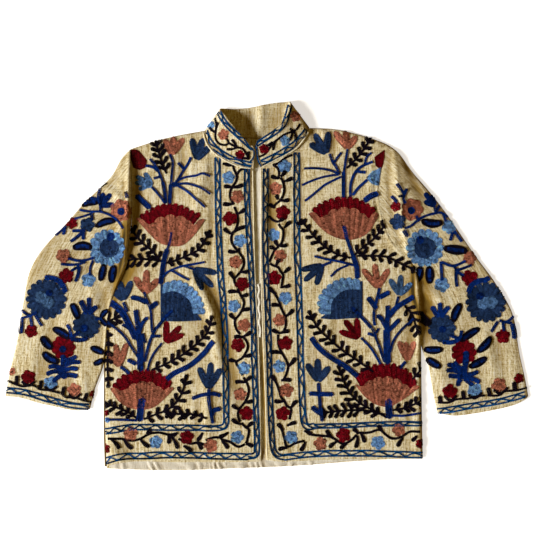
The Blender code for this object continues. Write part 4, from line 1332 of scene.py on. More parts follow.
def add_piece(name, mesh, material):
    """A finished piece in the scene, which rides on the one body of the jacket."""
    mesh.materials.clear()
    mesh.materials.append(material)
    mesh.shade_smooth()
    piece = place(name, mesh)
    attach(piece, "root")
    return piece


def refined_copy(node):
    """A solid's mesh as a smooth, finer mesh of its own."""
    bm = bmesh.new()
    bm.from_mesh(frame["nodes"][node].data)
    bmesh.ops.remove_doubles(bm, verts=bm.verts[:], dist=DOUBLES_REACH)
    bmesh.ops.join_triangles(
        bm, faces=bm.faces[:], angle_face_threshold=FLAT_TURN, angle_shape_threshold=SQUARE_TURN
    )
    crease = bm.edges.layers.float.new("crease_edge")
    for edge in bm.edges:
        if edge.calc_face_angle(0) > RIM_TURN:
            edge[crease] = RIM_CREASE
    holder = place(f"{node}_coarse", mesh_from(bm, f"{node}_coarse"))
    finer = holder.modifiers.new("finer", "SUBSURF")
    finer.levels = finer.render_levels = PANEL_LEVELS
    graph = bpy.context.evaluated_depsgraph_get()
    mesh = bpy.data.meshes.new_from_object(holder.evaluated_get(graph))
    bpy.data.objects.remove(holder)
    if node == "lining_back":
        divide_hem(mesh)
    for _, half_width, squares in ROLLS.get(node, []):
        if half_width <= FINE_FOLD:
            line = spaced(smooth_line(on_grid(squares)), CREASE_SAMPLES)
            gaps = offset_from(line, positions(mesh)[:, :2])[0]
            divide(mesh, gaps < FINE_REACH, FINE_CUTS)
    return mesh


def divide_hem(mesh):
    """Cuts the lining's hem into the small squares that its gathers need."""
    top = (ORIGIN_SQUARE[1] - GATHER_ROWS[0] + GATHER_MARGIN) * SQUARE
    plan = positions(mesh)[:, :2]
    low, high = plan.min(axis=0), plan.max(axis=0)
    planes = [((0, y, 0), (0, 1, 0)) for y in np.arange(low[1] + GATHER_MESH, top, GATHER_MESH)]
    planes += [((x, 0, 0), (1, 0, 0)) for x in np.arange(low[0] + GATHER_MESH, high[0], GATHER_MESH)]
    bm = bmesh.new()
    bm.from_mesh(mesh)
    for place, way in planes:
        faces = [face for face in bm.faces if min(vert.co.y for vert in face.verts) < top]
        edges = {edge for face in faces for edge in face.edges}
        verts = {vert for face in faces for vert in face.verts}
        bmesh.ops.bisect_plane(bm, geom=[*verts, *edges, *faces], plane_co=place, plane_no=way)
    bm.to_mesh(mesh)
    bm.free()


def divide(mesh, chosen, cuts):
    """Divides the edges between the chosen vertices of a mesh."""
    bm = bmesh.new()
    bm.from_mesh(mesh)
    edges = [edge for edge in bm.edges if all(chosen[vert.index] for vert in edge.verts)]
    bmesh.ops.subdivide_edges(bm, edges=edges, cuts=cuts, use_grid_fill=True)
    bm.to_mesh(mesh)
    bm.free()


def positions(mesh):
    """The mesh's vertices as an array of rows."""
    flat = np.empty(len(mesh.vertices) * 3)
    mesh.vertices.foreach_get("co", flat)
    return flat.reshape(-1, 3)


def edges_of(mesh):
    """The mesh's edges as pairs of vertex numbers."""
    flat = np.empty(len(mesh.edges) * 2, int)
    mesh.edges.foreach_get("vertices", flat)
    return flat.reshape(-1, 2)


def smoothed(values, edges, rounds):
    """Values at the vertices, evened out along the edges."""
    for _ in range(rounds):
        total = values.copy()
        count = np.ones(len(values))
        np.add.at(total, edges[:, 0], values[edges[:, 1]])
        np.add.at(total, edges[:, 1], values[edges[:, 0]])
        np.add.at(count, edges[:, 0], 1)
        np.add.at(count, edges[:, 1], 1)
        values = total / count
    return values


def crease_height(plan, creases):
    """The height that the creases add to the cloth at each point of the plan."""
    height = np.zeros(len(plan))
    for rise, half_width, squares in creases:
        line = spaced(smooth_line(on_grid(squares)), CREASE_SAMPLES)
        reach = CREASE_REACH * half_width * MM
        near = ((plan > line.min(axis=0) - reach) & (plan < line.max(axis=0) + reach)).all(axis=1)
        gaps, share = offset_from(line, plan[near])
        fade = np.sin(np.pi * (CREASE_START + (1 - 2 * CREASE_START) * share)) ** CREASE_FADE
        height[near] += rise * MM * fade * np.exp(-((gaps / (half_width * MM)) ** 2))
    return height


def unevenness(plan, counts, layer):
    """A smooth random value at each point of the plan, with so many waves a metre along each axis."""
    return np.array([noise.noise((x * counts[0], y * counts[1], layer)) for x, y in plan])


def grain_coordinates(node, points):
    """Distances across and along the grain of a panel's cloth at its points."""
    if node not in GRAIN_LINES:
        return points[:, :2]
    line = on_grid(GRAIN_LINES[node])
    bend = np.polyfit(line[:, 1], line[:, 0], 2)
    across = points[:, 0] - np.polyval(bend, points[:, 1])
    return np.column_stack([across, points[:, 1]]) * GRAIN_STRETCH


def store_grain(mesh, coordinates):
    """Writes the grain coordinates of the vertices as the mesh's UV map."""
    corners = np.empty(len(mesh.loops), int)
    mesh.loops.foreach_get("vertex_index", corners)
    layer = mesh.uv_layers.new(name="grain")
    layer.data.foreach_set("uv", coordinates[corners].ravel())


def store_painted_shade(mesh, values):
    """Writes how much shade is painted on the cloth at each vertex."""
    attribute = mesh.attributes.new("painted_shade", "FLOAT", "POINT")
    attribute.data.foreach_set("value", values.astype(np.float32))


def between(values, limits):
    """The share, from 0 to 1, that the values have gone from the first limit to the second."""
    return np.clip((values - limits[0]) / (limits[1] - limits[0]), 0, 1)


def gathered(points, rows):
    """The lining's points with the gathers along its hem."""
    rise = between(rows, GATHER_ROWS)
    sway = SWAY_TURN * unevenness(points[:, :2], *GATHER_SWAY)
    size = MIDDLE_SIZE + SIZE_SPREAD * unevenness(points[:, :2], *GATHER_VARIATION)
    slant = points[:, 0] + GATHER_SLANT * points[:, 1]
    folds = 0.5 + 0.5 * np.sin(2 * np.pi * slant / GATHER_WIDTH + sway)
    folds *= np.clip(size, LEAST_SIZE, 1)
    points[:, 2] += rise * (GATHER_LIFT + GATHER_HEIGHT * folds)
    points[:, 1] -= rise * GATHER_DROP * (0.5 + folds)
    return points


def collar_folded(points, rows):
    """The collar's points with the folds inside its back, and with its foot and ends closed up."""
    columns = points[:, 0] / SQUARE + ORIGIN_SQUARE[0]
    inside = points[:, 2] < COLLAR_TOP
    share = between(rows, COLLAR_FOLD_ROWS) * inside
    points[:, 2] += share * crease_height(points[:, :2], COLLAR_CREASES)
    points[:, 2] += crease_height(points[:, :2], COLLAR_ROLLS) * ~inside
    points[:, 1] -= COLLAR_DROP * between(rows, COLLAR_FOOT_ROWS) * inside
    for column, shift, reach in COLLAR_ENDS:
        same_side = (columns < COLLAR_MIDDLE) if shift > 0 else (columns > COLLAR_MIDDLE)
        near = np.exp(-(((columns - column) / reach) ** 2)) * (rows > COLLAR_END_ROW)
        points[:, 0] += shift * near * same_side
    return points


def closed_up(node, points, rows):
    """The sleeve's points with its underarm edge moved to the body's side."""
    shift, reach, grows, fades, squares = UNDERARMS[node]
    line = spaced(smooth_line(on_grid(squares)), CREASE_SAMPLES)
    gaps = offset_from(line, points[:, :2])[0]
    share = between(rows, grows) * (1 - between(rows, fades))
    points[:, 0] += shift * share * np.exp(-((gaps / reach) ** 2))
    return points


def creased(node, mesh, settings):
    """The panel's points with its creases, its collar folds or its gathers."""
    points = positions(mesh)
    plan = points[:, :2].copy()
    rows = ORIGIN_SQUARE[1] - plan[:, 1] / SQUARE
    if node == "back":
        return points
    if node == "lining_back":
        return gathered(points, rows)
    if node == "collar":
        return collar_folded(points, rows)
    share = between(points[:, 2], (CREASE_FLOOR, CREASE_FLOOR + CREASE_RISE))
    rise = settings.crease_depth * crease_height(plan, CREASES) + crease_height(plan, ROLLS[node])
    rise += settings.ripple * sum(size * unevenness(plan, counts, layer) for counts, layer, size in RIPPLES)
    normals = np.empty(len(mesh.vertices) * 3)
    mesh.vertex_normals.foreach_get("vector", normals)
    floor = np.where(normals.reshape(-1, 3)[:, 2] > 0, LOWEST_TOP, LOWEST_UNDERSIDE)
    room = np.maximum(points[:, 2] - floor, LEAST_ROOM)
    rise = np.where(rise < 0, -room * np.tanh(-rise / room), rise)
    points[:, 2] += share * rise
    return closed_up(node, points, rows) if node in UNDERARMS else points


def make_panel(node, material, settings):
    """One cut piece of the jacket as soft cloth on its solid's form."""
    mesh = refined_copy(node)
    points = creased(node, mesh, settings)
    edges = edges_of(mesh)
    # Painted shade: the cloth is darkened where it lies lower than the cloth around it, and along its panel's
    # shade lines
    broad, fine = (smoothed(points[:, 2], edges, rounds) for rounds in HOLLOW_ROUNDS)
    painted_shade = np.clip((broad - fine) / settings.hollow_reach, 0, 1) * HOLLOW_SHADE
    mesh.vertices.foreach_set("co", points.ravel())
    mesh.update()
    store_grain(mesh, grain_coordinates(node, points))
    store_painted_shade(mesh, painted_shade + crease_height(points[:, :2], PAINTED_SHADES.get(node, [])) / MM)
    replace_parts(add_piece(f"{node}_cloth", mesh, material), node)


# Seams and edges


def cord_mesh(name, path, radius):
    """A round cord: a circle that is drawn along the path."""
    ways = [(after - before).normalized() for before, after in zip(path, path[1:])]
    bm = bmesh.new()
    ring = bmesh.ops.create_circle(bm, cap_ends=True, segments=CORD_SIDES, radius=radius)["verts"]
    turn = Vector((0, 0, 1)).rotation_difference(ways[0])
    bmesh.ops.rotate(bm, verts=ring, matrix=turn.to_matrix())
    bmesh.ops.translate(bm, verts=ring, vec=path[0])
    rim = list(bm.edges)
    for number, way in enumerate(ways):
        moved = bmesh.ops.extrude_edge_only(bm, edges=rim)["geom"]
        ring = [part for part in moved if isinstance(part, bmesh.types.BMVert)]
        rim = [part for part in moved if isinstance(part, bmesh.types.BMEdge)]
        bmesh.ops.translate(bm, verts=ring, vec=path[number + 1] - path[number])
        turn = way.rotation_difference(ways[min(number + 1, len(ways) - 1)])
        bmesh.ops.rotate(bm, verts=ring, cent=path[number + 1], matrix=turn.to_matrix())
    bmesh.ops.edgeloop_fill(bm, edges=rim)
    bmesh.ops.recalc_face_normals(bm, faces=bm.faces[:])
    return mesh_from(bm, name)


def cloth_tree(node):
    """A search tree of a panel's faces."""
    mesh = bpy.data.objects[f"{node}_cloth"].data
    faces = [face.vertices for face in mesh.polygons]
    return BVHTree.FromPolygons([vert.co for vert in mesh.vertices], faces)


def make_cord(name, node, material, shade, radius, level, squares):
    """A cord of a seam or a rolled edge, at one level or as high as its panel's cloth."""
    line = smooth_line(on_grid(squares))
    line = spaced(line, round(length_of(line) / CORD_STEP))
    tree = cloth_tree(node)
    path = []
    for x, y in line:
        cloth = tree.find_nearest(Vector((x, y, ABOVE_CLOTH)))[0].z
        path.append(Vector((x, y, cloth - radius * MM / 2 if level is None else level * MM)))
    mesh = cord_mesh(name, path, radius * MM)
    store_grain(mesh, positions(mesh)[:, :2])
    # Painted shade, the same all along the cord
    store_painted_shade(mesh, np.full(len(mesh.vertices), shade))
    add_piece(name, mesh, material)


# Embroidery


def shortened(line, first, last):
    """A line with that much cut off its two ends."""
    length = length_of(line)
    if length <= LEAST_LEFT * (first + last):
        return line
    run = np.linspace(0, length, CUT_POINTS)
    kept = spaced(line, CUT_POINTS)[(run >= first) & (run <= length - last)]
    return kept if len(kept) > 1 else line


def sides_of(count):
    """The middles of that many equal parts of a breadth, from -1 at its right edge to 1 at its left."""
    return [(number + 0.5) / count * 2 - 1 for number in range(count)]


def roundness(side):
    """How far the edge of a half circle lies back from its crown, as a share of its radius."""
    return 1 - math.sqrt(1 - side**2)


def lobe_of(wave, fullness):
    """How far out a lobed edge is, from 0 in a notch to 1 on a lobe."""
    return abs(wave) ** fullness


def unit(angle):
    """The way that an angle points."""
    return np.array([math.cos(angle), math.sin(angle)])


def drifting(values, gap, count):
    """One value for each point of a line, drawn evenly between values that are a gap apart."""
    return np.interp(np.arange(count), gap * np.arange(len(values)), values)


class Needlework:
    """Collects the chain stitches of one panel: place, direction, size and dye of each link.

    Radii, lengths and widths are in squares, unless a name says otherwise.
    """

    def __init__(self, settings, seed):
        self.settings = settings
        self.random = np.random.default_rng(seed)
        self.links = []

    def rows_in(self, metres, least=1):
        """How many rows of stitches lie side by side in a breadth."""
        return max(least, round(metres / self.settings.row_spacing))

    def row(self, line, width, thread, layer=0, tone=1.0):
        """A row of chain stitch along a line of points, its width in metres too."""
        length = length_of(line)
        if length < SHORTEST_ROW * self.settings.stitch_length:
            return
        count = max(1, round(length / self.settings.stitch_length * self.random.uniform(*STITCH_RANGE)))
        ends = spaced(line, count + 1)
        middles = (ends[1:] + ends[:-1]) / 2
        ways = ends[1:] - ends[:-1]
        tone = tone * self.random.normal(ROW_TONE, ROW_VARIATION)
        for (x, y), (across, up) in zip(middles, ways):
            self.links.append((x, y, across, up, width, layer, thread, tone))

    def stroke(self, squares, width, thread, layer=0):
        """Side by side rows with round ends."""
        line = spaced(smooth_line(on_grid(squares)), LINE_POINTS)
        breadth = width * SQUARE
        count = self.rows_in(breadth)
        for side in sides_of(count):
            cut = ROUND_END * roundness(side) * breadth
            self.row(shortened(beside(line, side / 2 * breadth), cut, cut), breadth / count, thread, layer)

    def leaf(self, squares, width, thread, core, layer=0):
        """A leaf that is pointed at both ends, with a core of another thread."""
        line = spaced(smooth_line(on_grid(squares)), LINE_POINTS)
        length = length_of(line)
        breadth = LEAF_BREADTH * width * SQUARE
        swell = np.sin(np.linspace(LEAF_START, 1 - LEAF_START, len(line)) * np.pi) ** LEAF_FULLNESS
        count = self.rows_in(width * SQUARE, 2)
        for side in sides_of(count):
            cut = LEAF_CUT * length * side**2
            row = shortened(beside(line, side / 2 * breadth * swell), cut, cut)
            self.row(row, breadth / count, thread, layer)
        inner = shortened(line, CORE_INSET * length, CORE_INSET * length)
        for way in (-1, 1):
            row = beside(inner, way * CORE_PLACE * width * SQUARE)
            self.row(row, CORE_WIDTH * width * SQUARE, core, layer + 1)

    def blade(self, first, last, width, thread, layer=1):
        """A leaf between two points in metres: a thin stalk and a round tip."""
        way = last - first
        lean = BLADE_LEAN * np.array([-way[1], way[0]]) * self.random.choice([-1, 1])
        line = spaced(smooth_line([first, first + BLADE_BEND * way + lean, last]), len(BLADE_BREADTHS))
        breadth = width * SQUARE * np.array(BLADE_BREADTHS)
        count = self.rows_in(width * SQUARE, 2)
        for side in sides_of(count):
            cut = BLADE_CUT * width * SQUARE * side**2
            row = shortened(beside(line, side / 2 * breadth), 0, cut)
            self.row(row, BLADE_ROW * width * SQUARE / count, thread, layer)

    def petal(self, root, tip, width, thread):
        """A petal of rows from a narrow root to a round tip."""
        first, last = on_grid([root, tip])
        breadth = width * SQUARE
        line = first + (last - first) * np.linspace(0, 1, PETAL_POINTS)[:, None]
        swell = np.sin(np.pi * np.linspace(*PETAL_SPAN, PETAL_POINTS)) ** PETAL_FULLNESS
        count = self.rows_in(breadth)
        for side in sides_of(count):
            cut = ROUND_END * breadth * roundness(side)
            row = shortened(beside(line, side / 2 * breadth * swell), PETAL_ROOT * cut, cut)
            self.row(row, breadth / count, thread, tone=1 - PETAL_SHADE * abs(side) ** 3)

    def blossom(self, middle, radius, thread, petals=5, notch=0.22, layer=0):
        """A round lobed flower filled with rings of stitches."""
        centre = on_grid([middle])[0]
        reach = radius * SQUARE
        angles = np.linspace(0, 2 * np.pi, RING_POINTS * petals + 1)
        lobes = lobe_of(np.cos(petals * angles / 2), BLOSSOM_FULLNESS)
        count = self.rows_in(reach)
        for number in range(count):
            share = (number + 0.5) / count
            ring = share * reach * (1 - notch * share * (1 - lobes))
            line = centre + np.column_stack([np.cos(angles), np.sin(angles)]) * ring[:, None]
            self.row(line, self.settings.row_spacing * OVERLAP, thread, layer)

    def disc(self, centre, radius, thread, layer=0):
        """A small round patch of side by side rows, all in metres."""
        way = unit(self.random.uniform(0, math.pi))
        across = np.array([-way[1], way[0]])
        count = self.rows_in(2 * radius)
        for side in sides_of(count):
            middle = centre + across * (side * radius)
            half = way * math.sqrt(radius**2 - (side * radius) ** 2)
            self.row(np.array([middle - half, middle + half]), 2 * radius / count, thread, layer)

    def rosette(self, middle, radius, thread, petals=5):
        """A small flower of round petals about a round middle."""
        centre = on_grid([middle])[0]
        reach = radius * SQUARE - ROSETTE_MARGIN
        turn = self.random.uniform(0, math.pi)
        for number in range(petals):
            uneven = number + self.random.uniform(-ROSETTE_TURN, ROSETTE_TURN)
            size = reach * self.random.uniform(*ROSETTE_PETALS)
            self.disc(centre + (reach - size) * unit(turn + 2 * math.pi * uneven / petals), size, thread)
        self.disc(centre, ROSETTE_MIDDLE * reach, thread, 1)

    def rays(self, middle, inner, outer, thread, lobes):
        """Rows that run outwards to a scalloped edge, every other one only in the outer half."""
        centre = on_grid([middle])[0]
        count = self.rows_in(outer * SQUARE * 2 * math.pi)
        for number in range(count):
            angle = 2 * math.pi * (number + 0.5) / count
            lobe = lobe_of(math.cos(lobes * angle / 2), SCALLOP_FULLNESS)
            edge = outer * (1 - RAY_NOTCH * (1 - lobe))
            first = inner if number % 2 else inner + self.random.uniform(*RAY_STARTS) * (outer - inner)
            line = centre + np.outer([first, (first + edge) / 2, edge], unit(angle)) * SQUARE
            tone = RAY_TONES[0] + RAY_TONES[1] * lobe
            self.row(line, self.settings.row_spacing * OVERLAP, thread, 0, tone)

    def fill(self, lower, upper, thread, squeeze=1.0, notch=0.0, lobes=9, layer=0, sink=0.0):
        """Rows from a lower line to a lobed upper one; squeeze gathers their feet, and sink lowers them."""
        feet, heads = (spaced(smooth_line(on_grid(line)), FILL_POINTS) for line in (lower, upper))
        foot_length = length_of(feet) * squeeze
        crowded = foot_length < CROWDED * length_of(heads)
        count = self.rows_in(max(foot_length, length_of(heads)), 2)
        for number in range(count):
            share = (number + 0.5) / count
            lobe = lobe_of(math.sin(math.pi * lobes * share), SCALLOP_FULLNESS)
            foot = feet[round((FILL_POINTS - 1) * (0.5 + (share - 0.5) * squeeze))]
            head = foot + (heads[round((FILL_POINTS - 1) * share)] - foot) * (1 - notch * (1 - lobe))
            foot = foot - sink * (head - foot)
            if crowded and number % 2:
                foot = foot + (head - foot) * self.random.uniform(*FILL_STARTS)
            line = np.array([foot, (foot + head) / 2, head])
            tone = FILL_TONES[0] + FILL_TONES[1] * lobe
            self.row(line, self.settings.row_spacing * OVERLAP, thread, layer, tone)

    def sprig(self, squares, first, gap, left, right, thread="plum"):
        """A stem with pairs of blunt leaves along it."""
        line = smooth_line(on_grid(squares))
        self.row(line, SPRIG_STEM * SQUARE, thread, 1)
        steps = round(length_of(line) / SQUARE)
        dense = spaced(line, steps + 1)
        for run in np.arange(first, steps, gap):
            at = round(run)
            across, up = dense[min(at + SPRIG_LOOK, steps)] - dense[max(at - SPRIG_LOOK, 0)]
            growth = SPRIG_GROWTH[0] + SPRIG_GROWTH[1] * math.sin(math.pi * run / steps)
            for side, length in ((1, left), (-1, right)):
                spread = SPRIG_SPREAD + self.random.uniform(-SPRIG_VARIATION, SPRIG_VARIATION)
                way = unit(math.atan2(up, across) + side * math.radians(spread))
                self.blade(dense[at], dense[at] + growth * length * SQUARE * way, SPRIG_LEAF, thread)
        ahead = dense[-1] - dense[-1 - SPRIG_LOOK]
        ahead *= SPRIG_TIP * SQUARE / np.linalg.norm(ahead)
        self.blade(dense[-1] - SPRIG_TIP_ROOT * ahead, dense[-1] + ahead, SPRIG_LEAF, thread)

    def rope(self, squares, half_gap, thread, width):
        """A border of two lines with a waving one between them."""
        line = smooth_line(on_grid(squares), ROPE_SMOOTHNESS)
        count = max(ROPE_LEAST, round(length_of(line) / ROPE_STEP))
        line = spaced(line, count)
        left = beside(line, 1.0) - line
        for side in (-1, 1):
            wander = self.random.normal(0, ROPE_WANDER, math.ceil(count / ROPE_WANDER_GAP) + 1)
            away = side * half_gap + drifting(wander, ROPE_WANDER_GAP, count)
            self.row(line + left * (away * SQUARE)[:, None], width * SQUARE, thread)
        paces = np.abs(self.random.normal(*ROPE_PACE, math.ceil(count / ROPE_PACE_GAP) + 1))
        run = np.cumsum(drifting(paces, ROPE_PACE_GAP, count)) * length_of(line) / (count - 1)
        phase = 2 * np.pi * run / (ROPE_WAVE * SQUARE) + self.random.uniform(*ROPE_STARTS)
        sway = ROPE_SWAY * half_gap * SQUARE * np.sin(phase)
        self.row(line + left * sway[:, None], ROPE_WAVE_WIDTH * width * SQUARE, thread, 1)


def stitch_borders(node, work):
    """The ropes of a panel, and the vine with its small flowers that grows between them."""
    rope_width, stem_width, leaf_width = COLLAR_WIDTHS if node == "collar" else PANEL_WIDTHS
    for half_gap, thread, points in ROPES.get(node, []):
        work.rope(points, half_gap, thread, rope_width)
    for points in VINE_STEMS.get(node, []):
        work.stroke(points, stem_width, "plum")
    for leaf in VINE_LEAVES.get(node, []):
        work.blade(*on_grid(leaf), leaf_width, "plum")
    for column, row, radius, thread in VINE_FLOWERS.get(node, []):
        work.rosette((column, row), radius, thread)


def stitch_sprays(node, work):
    """The plants that fill a panel, from the ground up."""
    for first, gap, left, right, points in SPRIGS.get(node, []):
        work.sprig(points, first, gap, left, right)
    for thread, width, root, tips in TULIPS.get(node, []):
        for tip in tips:
            work.petal(root, tip, width, thread)
    for foot, middle, top in FANS.get(node, []):
        work.fill(middle[RED_PART], top, "crimson", notch=0.30, lobes=11, sink=0.4)
        work.fill(foot, middle, "rose", squeeze=0.62, notch=0.12, lobes=7, layer=1)
    for kind, width, points in STROKES.get(node, []):
        thread, core = STROKE_KINDS[kind]
        if core:
            work.leaf(points, width, thread, core, layer=1)
        else:
            work.stroke(points, width, thread, layer=2)


def stitch_flowers(node, work):
    """The half flowers and buds of the fronts, and the large round flowers of the sleeves."""
    for thread, layer, notch, foot, top in HALF_FLOWERS.get(node, []):
        work.fill(foot, top, thread, notch=notch, layer=layer)
    for middle, rays, patches, cap in ROUND_FLOWERS.get(node, []):
        if rays:
            work.rays(middle, *rays)
        for place, radius, thread, lobes, notch, layer in patches:
            work.blossom(place, radius, thread, lobes, notch, layer)
        if cap:
            work.stroke(*cap, "navy", layer=2)


def link_shape():
    """Points, faces and painted shade and highlight of one link: a ring with a dimple, one long and wide,
    narrow at its foot.
    """
    bm = bmesh.new()
    bmesh.ops.create_circle(bm, cap_ends=True, segments=LINK_SIDES, radius=0.5)
    bmesh.ops.inset_region(bm, faces=bm.faces[:], thickness=LINK_RIM)
    top = max(bm.faces, key=lambda face: len(face.verts))
    bmesh.ops.translate(bm, vec=(0, 0, 1), verts=top.verts)
    middle = bmesh.ops.poke(bm, faces=[top])["verts"]
    bmesh.ops.translate(bm, vec=(0, 0, -LINK_DIMPLE), verts=middle)
    bmesh.ops.triangulate(bm, faces=bm.faces[:])
    bm.normal_update()
    bmesh.ops.reverse_faces(bm, faces=[face for face in bm.faces if face.normal.z < 0])
    bm.verts.index_update()
    points = np.array([vert.co[:] for vert in bm.verts])
    faces = np.array([[vert.index for vert in face.verts] for face in bm.faces])
    bm.free()
    shade_and_highlight = np.interp(points[:, 2], [0, 1 - LINK_DIMPLE, 1], LINK_SHADE_AND_HIGHLIGHT)
    for axis, (size, change) in ((1, LINK_TAPER), (2, LINK_SLOPE)):
        points[:, axis] *= size + change * points[:, 0]
    return points, faces, shade_and_highlight


def sewn_mesh(name, work, node):
    """One mesh of all the links, each laid on the panel's cloth."""
    points, faces, shade_and_highlight = link_shape()
    settings = work.settings
    tree = cloth_tree(node)
    places, axes, dyes = [], [], []
    for x, y, across, up, width, layer, thread, tone in work.links:
        hit, normal, _, _ = tree.ray_cast(Vector((x, y, LOOKOUT)), Vector((0, 0, -1)))
        if hit is None or normal.z < STEEPEST_CLOTH or hit.z < settings.lowest_stitch:
            continue
        way = Vector((across, up, 0))
        side = normal.cross(way).normalized()
        along = side.cross(normal) * way.length
        height = normal * settings.thread_height
        places.append(hit + height * LAYER_LIFT * layer - normal * LINK_SINK)
        axes.append((along * LINK_LENGTH, side * width * LINK_WIDTH, height))
        uneven = max(LEAST_TONE, work.random.normal(1.0, LINK_VARIATION))
        dyes.append(np.array(THREADS[thread]) * tone * uneven)
    vertices = np.array(places)[:, None] + np.einsum("pk,nkc->npc", points, np.array(axes))
    corners = (faces[None] + np.arange(len(places))[:, None, None] * len(points)).reshape(-1, 3)
    colours = np.ones((len(places), len(points), 4))
    # The dye with painted shade at each link's foot and dimple and a painted highlight on its top
    colours[..., :3] = np.clip(np.array(dyes)[:, None] * shade_and_highlight[None, :, None], 0, 1)
    mesh = bpy.data.meshes.new(name)
    mesh.vertices.add(vertices.shape[0] * vertices.shape[1])
    mesh.vertices.foreach_set("co", vertices.ravel())
    mesh.loops.add(corners.size)
    mesh.loops.foreach_set("vertex_index", corners.ravel())
    mesh.polygons.add(len(corners))
    mesh.polygons.foreach_set("loop_start", np.arange(0, corners.size, 3))
    mesh.update(calc_edges=True)
    dye = mesh.attributes.new("dye", "FLOAT_COLOR", "POINT")
    dye.data.foreach_set("color", colours.ravel())
    return mesh


# The embroidered pieces of a panel, and how each is stitched
EMBROIDERY_PARTS = {
    "borders": (stitch_borders,),
    "sprays": (stitch_sprays, stitch_flowers),
}


# Stage


def seen_by_camera(nodes):
    """1 where the camera sees the surface itself, and 0 where the surface only lights others."""
    return nodes.add("ShaderNodeLightPath").outputs["Is Camera Ray"]


def make_floor():
    """A plain pale floor."""
    bm = bmesh.new()
    bmesh.ops.create_grid(bm, x_segments=1, y_segments=1, size=FLOOR_REACH)
    bmesh.ops.translate(bm, verts=bm.verts[:], vec=(0, 0, FLOOR_LEVEL))
    mesh = mesh_from(bm, "floor")
    material = bpy.data.materials.new("floor_white")
    material.use_nodes = True
    shader = material.node_tree.nodes["Principled BSDF"]
    shader.inputs["Roughness"].default_value = FLOOR_ROUGHNESS
    shader.inputs["Emission Color"].default_value = (1, 1, 1, 1)
    nodes = Nodes(material.node_tree)
    seen = seen_by_camera(nodes)
    nodes.join(nodes.mix(seen, FLOOR_BOUNCE, FLOOR_COLOUR), shader.inputs["Base Color"])
    nodes.join(nodes.math("MULTIPLY", seen, FLOOR_GLOW), shader.inputs["Emission Strength"])
    mesh.materials.append(material)
    place("floor", mesh)


def make_light(settings):
    """A soft main light from the wearer's right."""
    high, turn = settings.light_height, settings.light_turn
    way = Vector((-math.cos(high) * math.cos(turn), -math.cos(high) * math.sin(turn), math.sin(high)))
    data = bpy.data.lights.new("main_light", "AREA")
    data.shape = "DISK"
    data.size = settings.light_size
    data.energy = settings.light_power
    data.color = LIGHT_TINT
    lamp = place("main_light", data)
    lamp.location = settings.light_distance * way
    lamp.rotation_euler = (-way).to_track_quat("-Z", "Y").to_euler()


def make_surround():
    """A dim warm surround that looks like the floor where the camera sees it."""
    world = bpy.data.worlds.new("surround")
    world.use_nodes = True
    background = world.node_tree.nodes["Background"]
    nodes = Nodes(world.node_tree)
    seen = seen_by_camera(nodes)
    nodes.join(nodes.mix(seen, SURROUND_COLOUR, FLOOR_COLOUR), background.inputs["Color"])
    strength = nodes.math("MULTIPLY_ADD", seen, 1 - SURROUND_STRENGTH, SURROUND_STRENGTH)
    nodes.join(strength, background.inputs["Strength"])
    bpy.context.scene.world = world
    bpy.context.scene.view_settings.view_transform = "Standard"


def make_camera(settings):
    """A camera straight over the jacket."""
    data = bpy.data.cameras.new("camera")
    data.sensor_width = FILM_WIDTH
    data.lens = FILM_WIDTH * settings.camera_height / settings.view_width
    camera = place("camera", data)
    camera.location = (*settings.view_middle, settings.camera_height)
    bpy.context.scene.camera = camera


# Settings, operators and panel


def colour_setting(name, description, default):
    """A colour that a user may change."""
    return FloatVectorProperty(
        name=name, description=description, subtype="COLOR", default=default, min=0, max=1
    )


def size_setting(name, description, default, least=0.0):
    """A length in metres that a user may change."""
    return FloatProperty(name=name, description=description, default=default, min=least, unit="LENGTH")


class JacketSettings(bpy.types.PropertyGroup):
    """Sizes and colours of the jacket that a user may change."""

    cloth_colour: colour_setting("Cloth", "Colour of the cotton where it is clean", (0.82, 0.72, 0.44))
    slub_colour: colour_setting("Slub", "Colour of the cotton's thick and thin threads", (0.39, 0.27, 0.09))
    # The shade colour is the painted shade in the cloth's hollows and shaded places, and the colour of its
    # random broad patches
    shade_colour: colour_setting("Shade", "Colour of the cotton in its hollows", (0.33, 0.20, 0.03))
    cord_colour: colour_setting("Cord", "Colour of the cords at the collar and fronts", (0.93, 0.86, 0.64))
    lining_colour: colour_setting("Lining", "Colour of the lining", (0.93, 0.91, 0.82))
    crease_depth: FloatProperty(
        name="Crease depth", description="Multiplies the creases' heights", default=1.5, min=0, max=3,
        subtype="FACTOR",
    )
    ripple: size_setting("Ripple", "Height of the cloth's small unevenness", 0.9 * MM)
    # Painted shade: how far the cloth must lie below the cloth around it to be painted fully dark
    hollow_reach: size_setting("Hollow reach", "Depth at which a hollow is fully dark", 1.6 * MM, 0.1 * MM)
    stitch_length: size_setting("Stitch length", "Length of one chain stitch", 3.3 * MM, MM)
    row_spacing: size_setting("Row spacing", "Distance between rows of stitches", 2.3 * MM, MM)
    thread_height: size_setting("Thread height", "How far the stitches stand up", 1.2 * MM, 0.1 * MM)
    lowest_stitch: size_setting("Lowest stitch", "Stitches below this level are left out", 2.8 * MM)


class StageSettings(bpy.types.PropertyGroup):
    """Light and camera."""

    camera_height: size_setting("Camera height", "Height of the camera over the surface", 2.0)
    view_width: size_setting("View width", "Width of the surface that the camera sees", 0.9594)
    view_middle: FloatVectorProperty(
        name="View middle", description="Point of the surface under the camera", size=2,
        default=(-0.0007, 0.0356), unit="LENGTH",
    )
    light_height: FloatProperty(
        name="Light height", description="Angle of the main light over the surface", default=math.radians(33),
        subtype="ANGLE",
    )
    light_turn: FloatProperty(
        name="Light turn", description="Direction of the main light, from the wearer's right towards the hem",
        default=math.radians(16), subtype="ANGLE",
    )
    light_distance: size_setting("Light distance", "How far the main light stands away", 8.0)
    light_size: size_setting("Light size", "Width of the main light", 2.4)
    light_power: FloatProperty(
        name="Light power", description="Power of the main light", default=890.0, unit="POWER"
    )


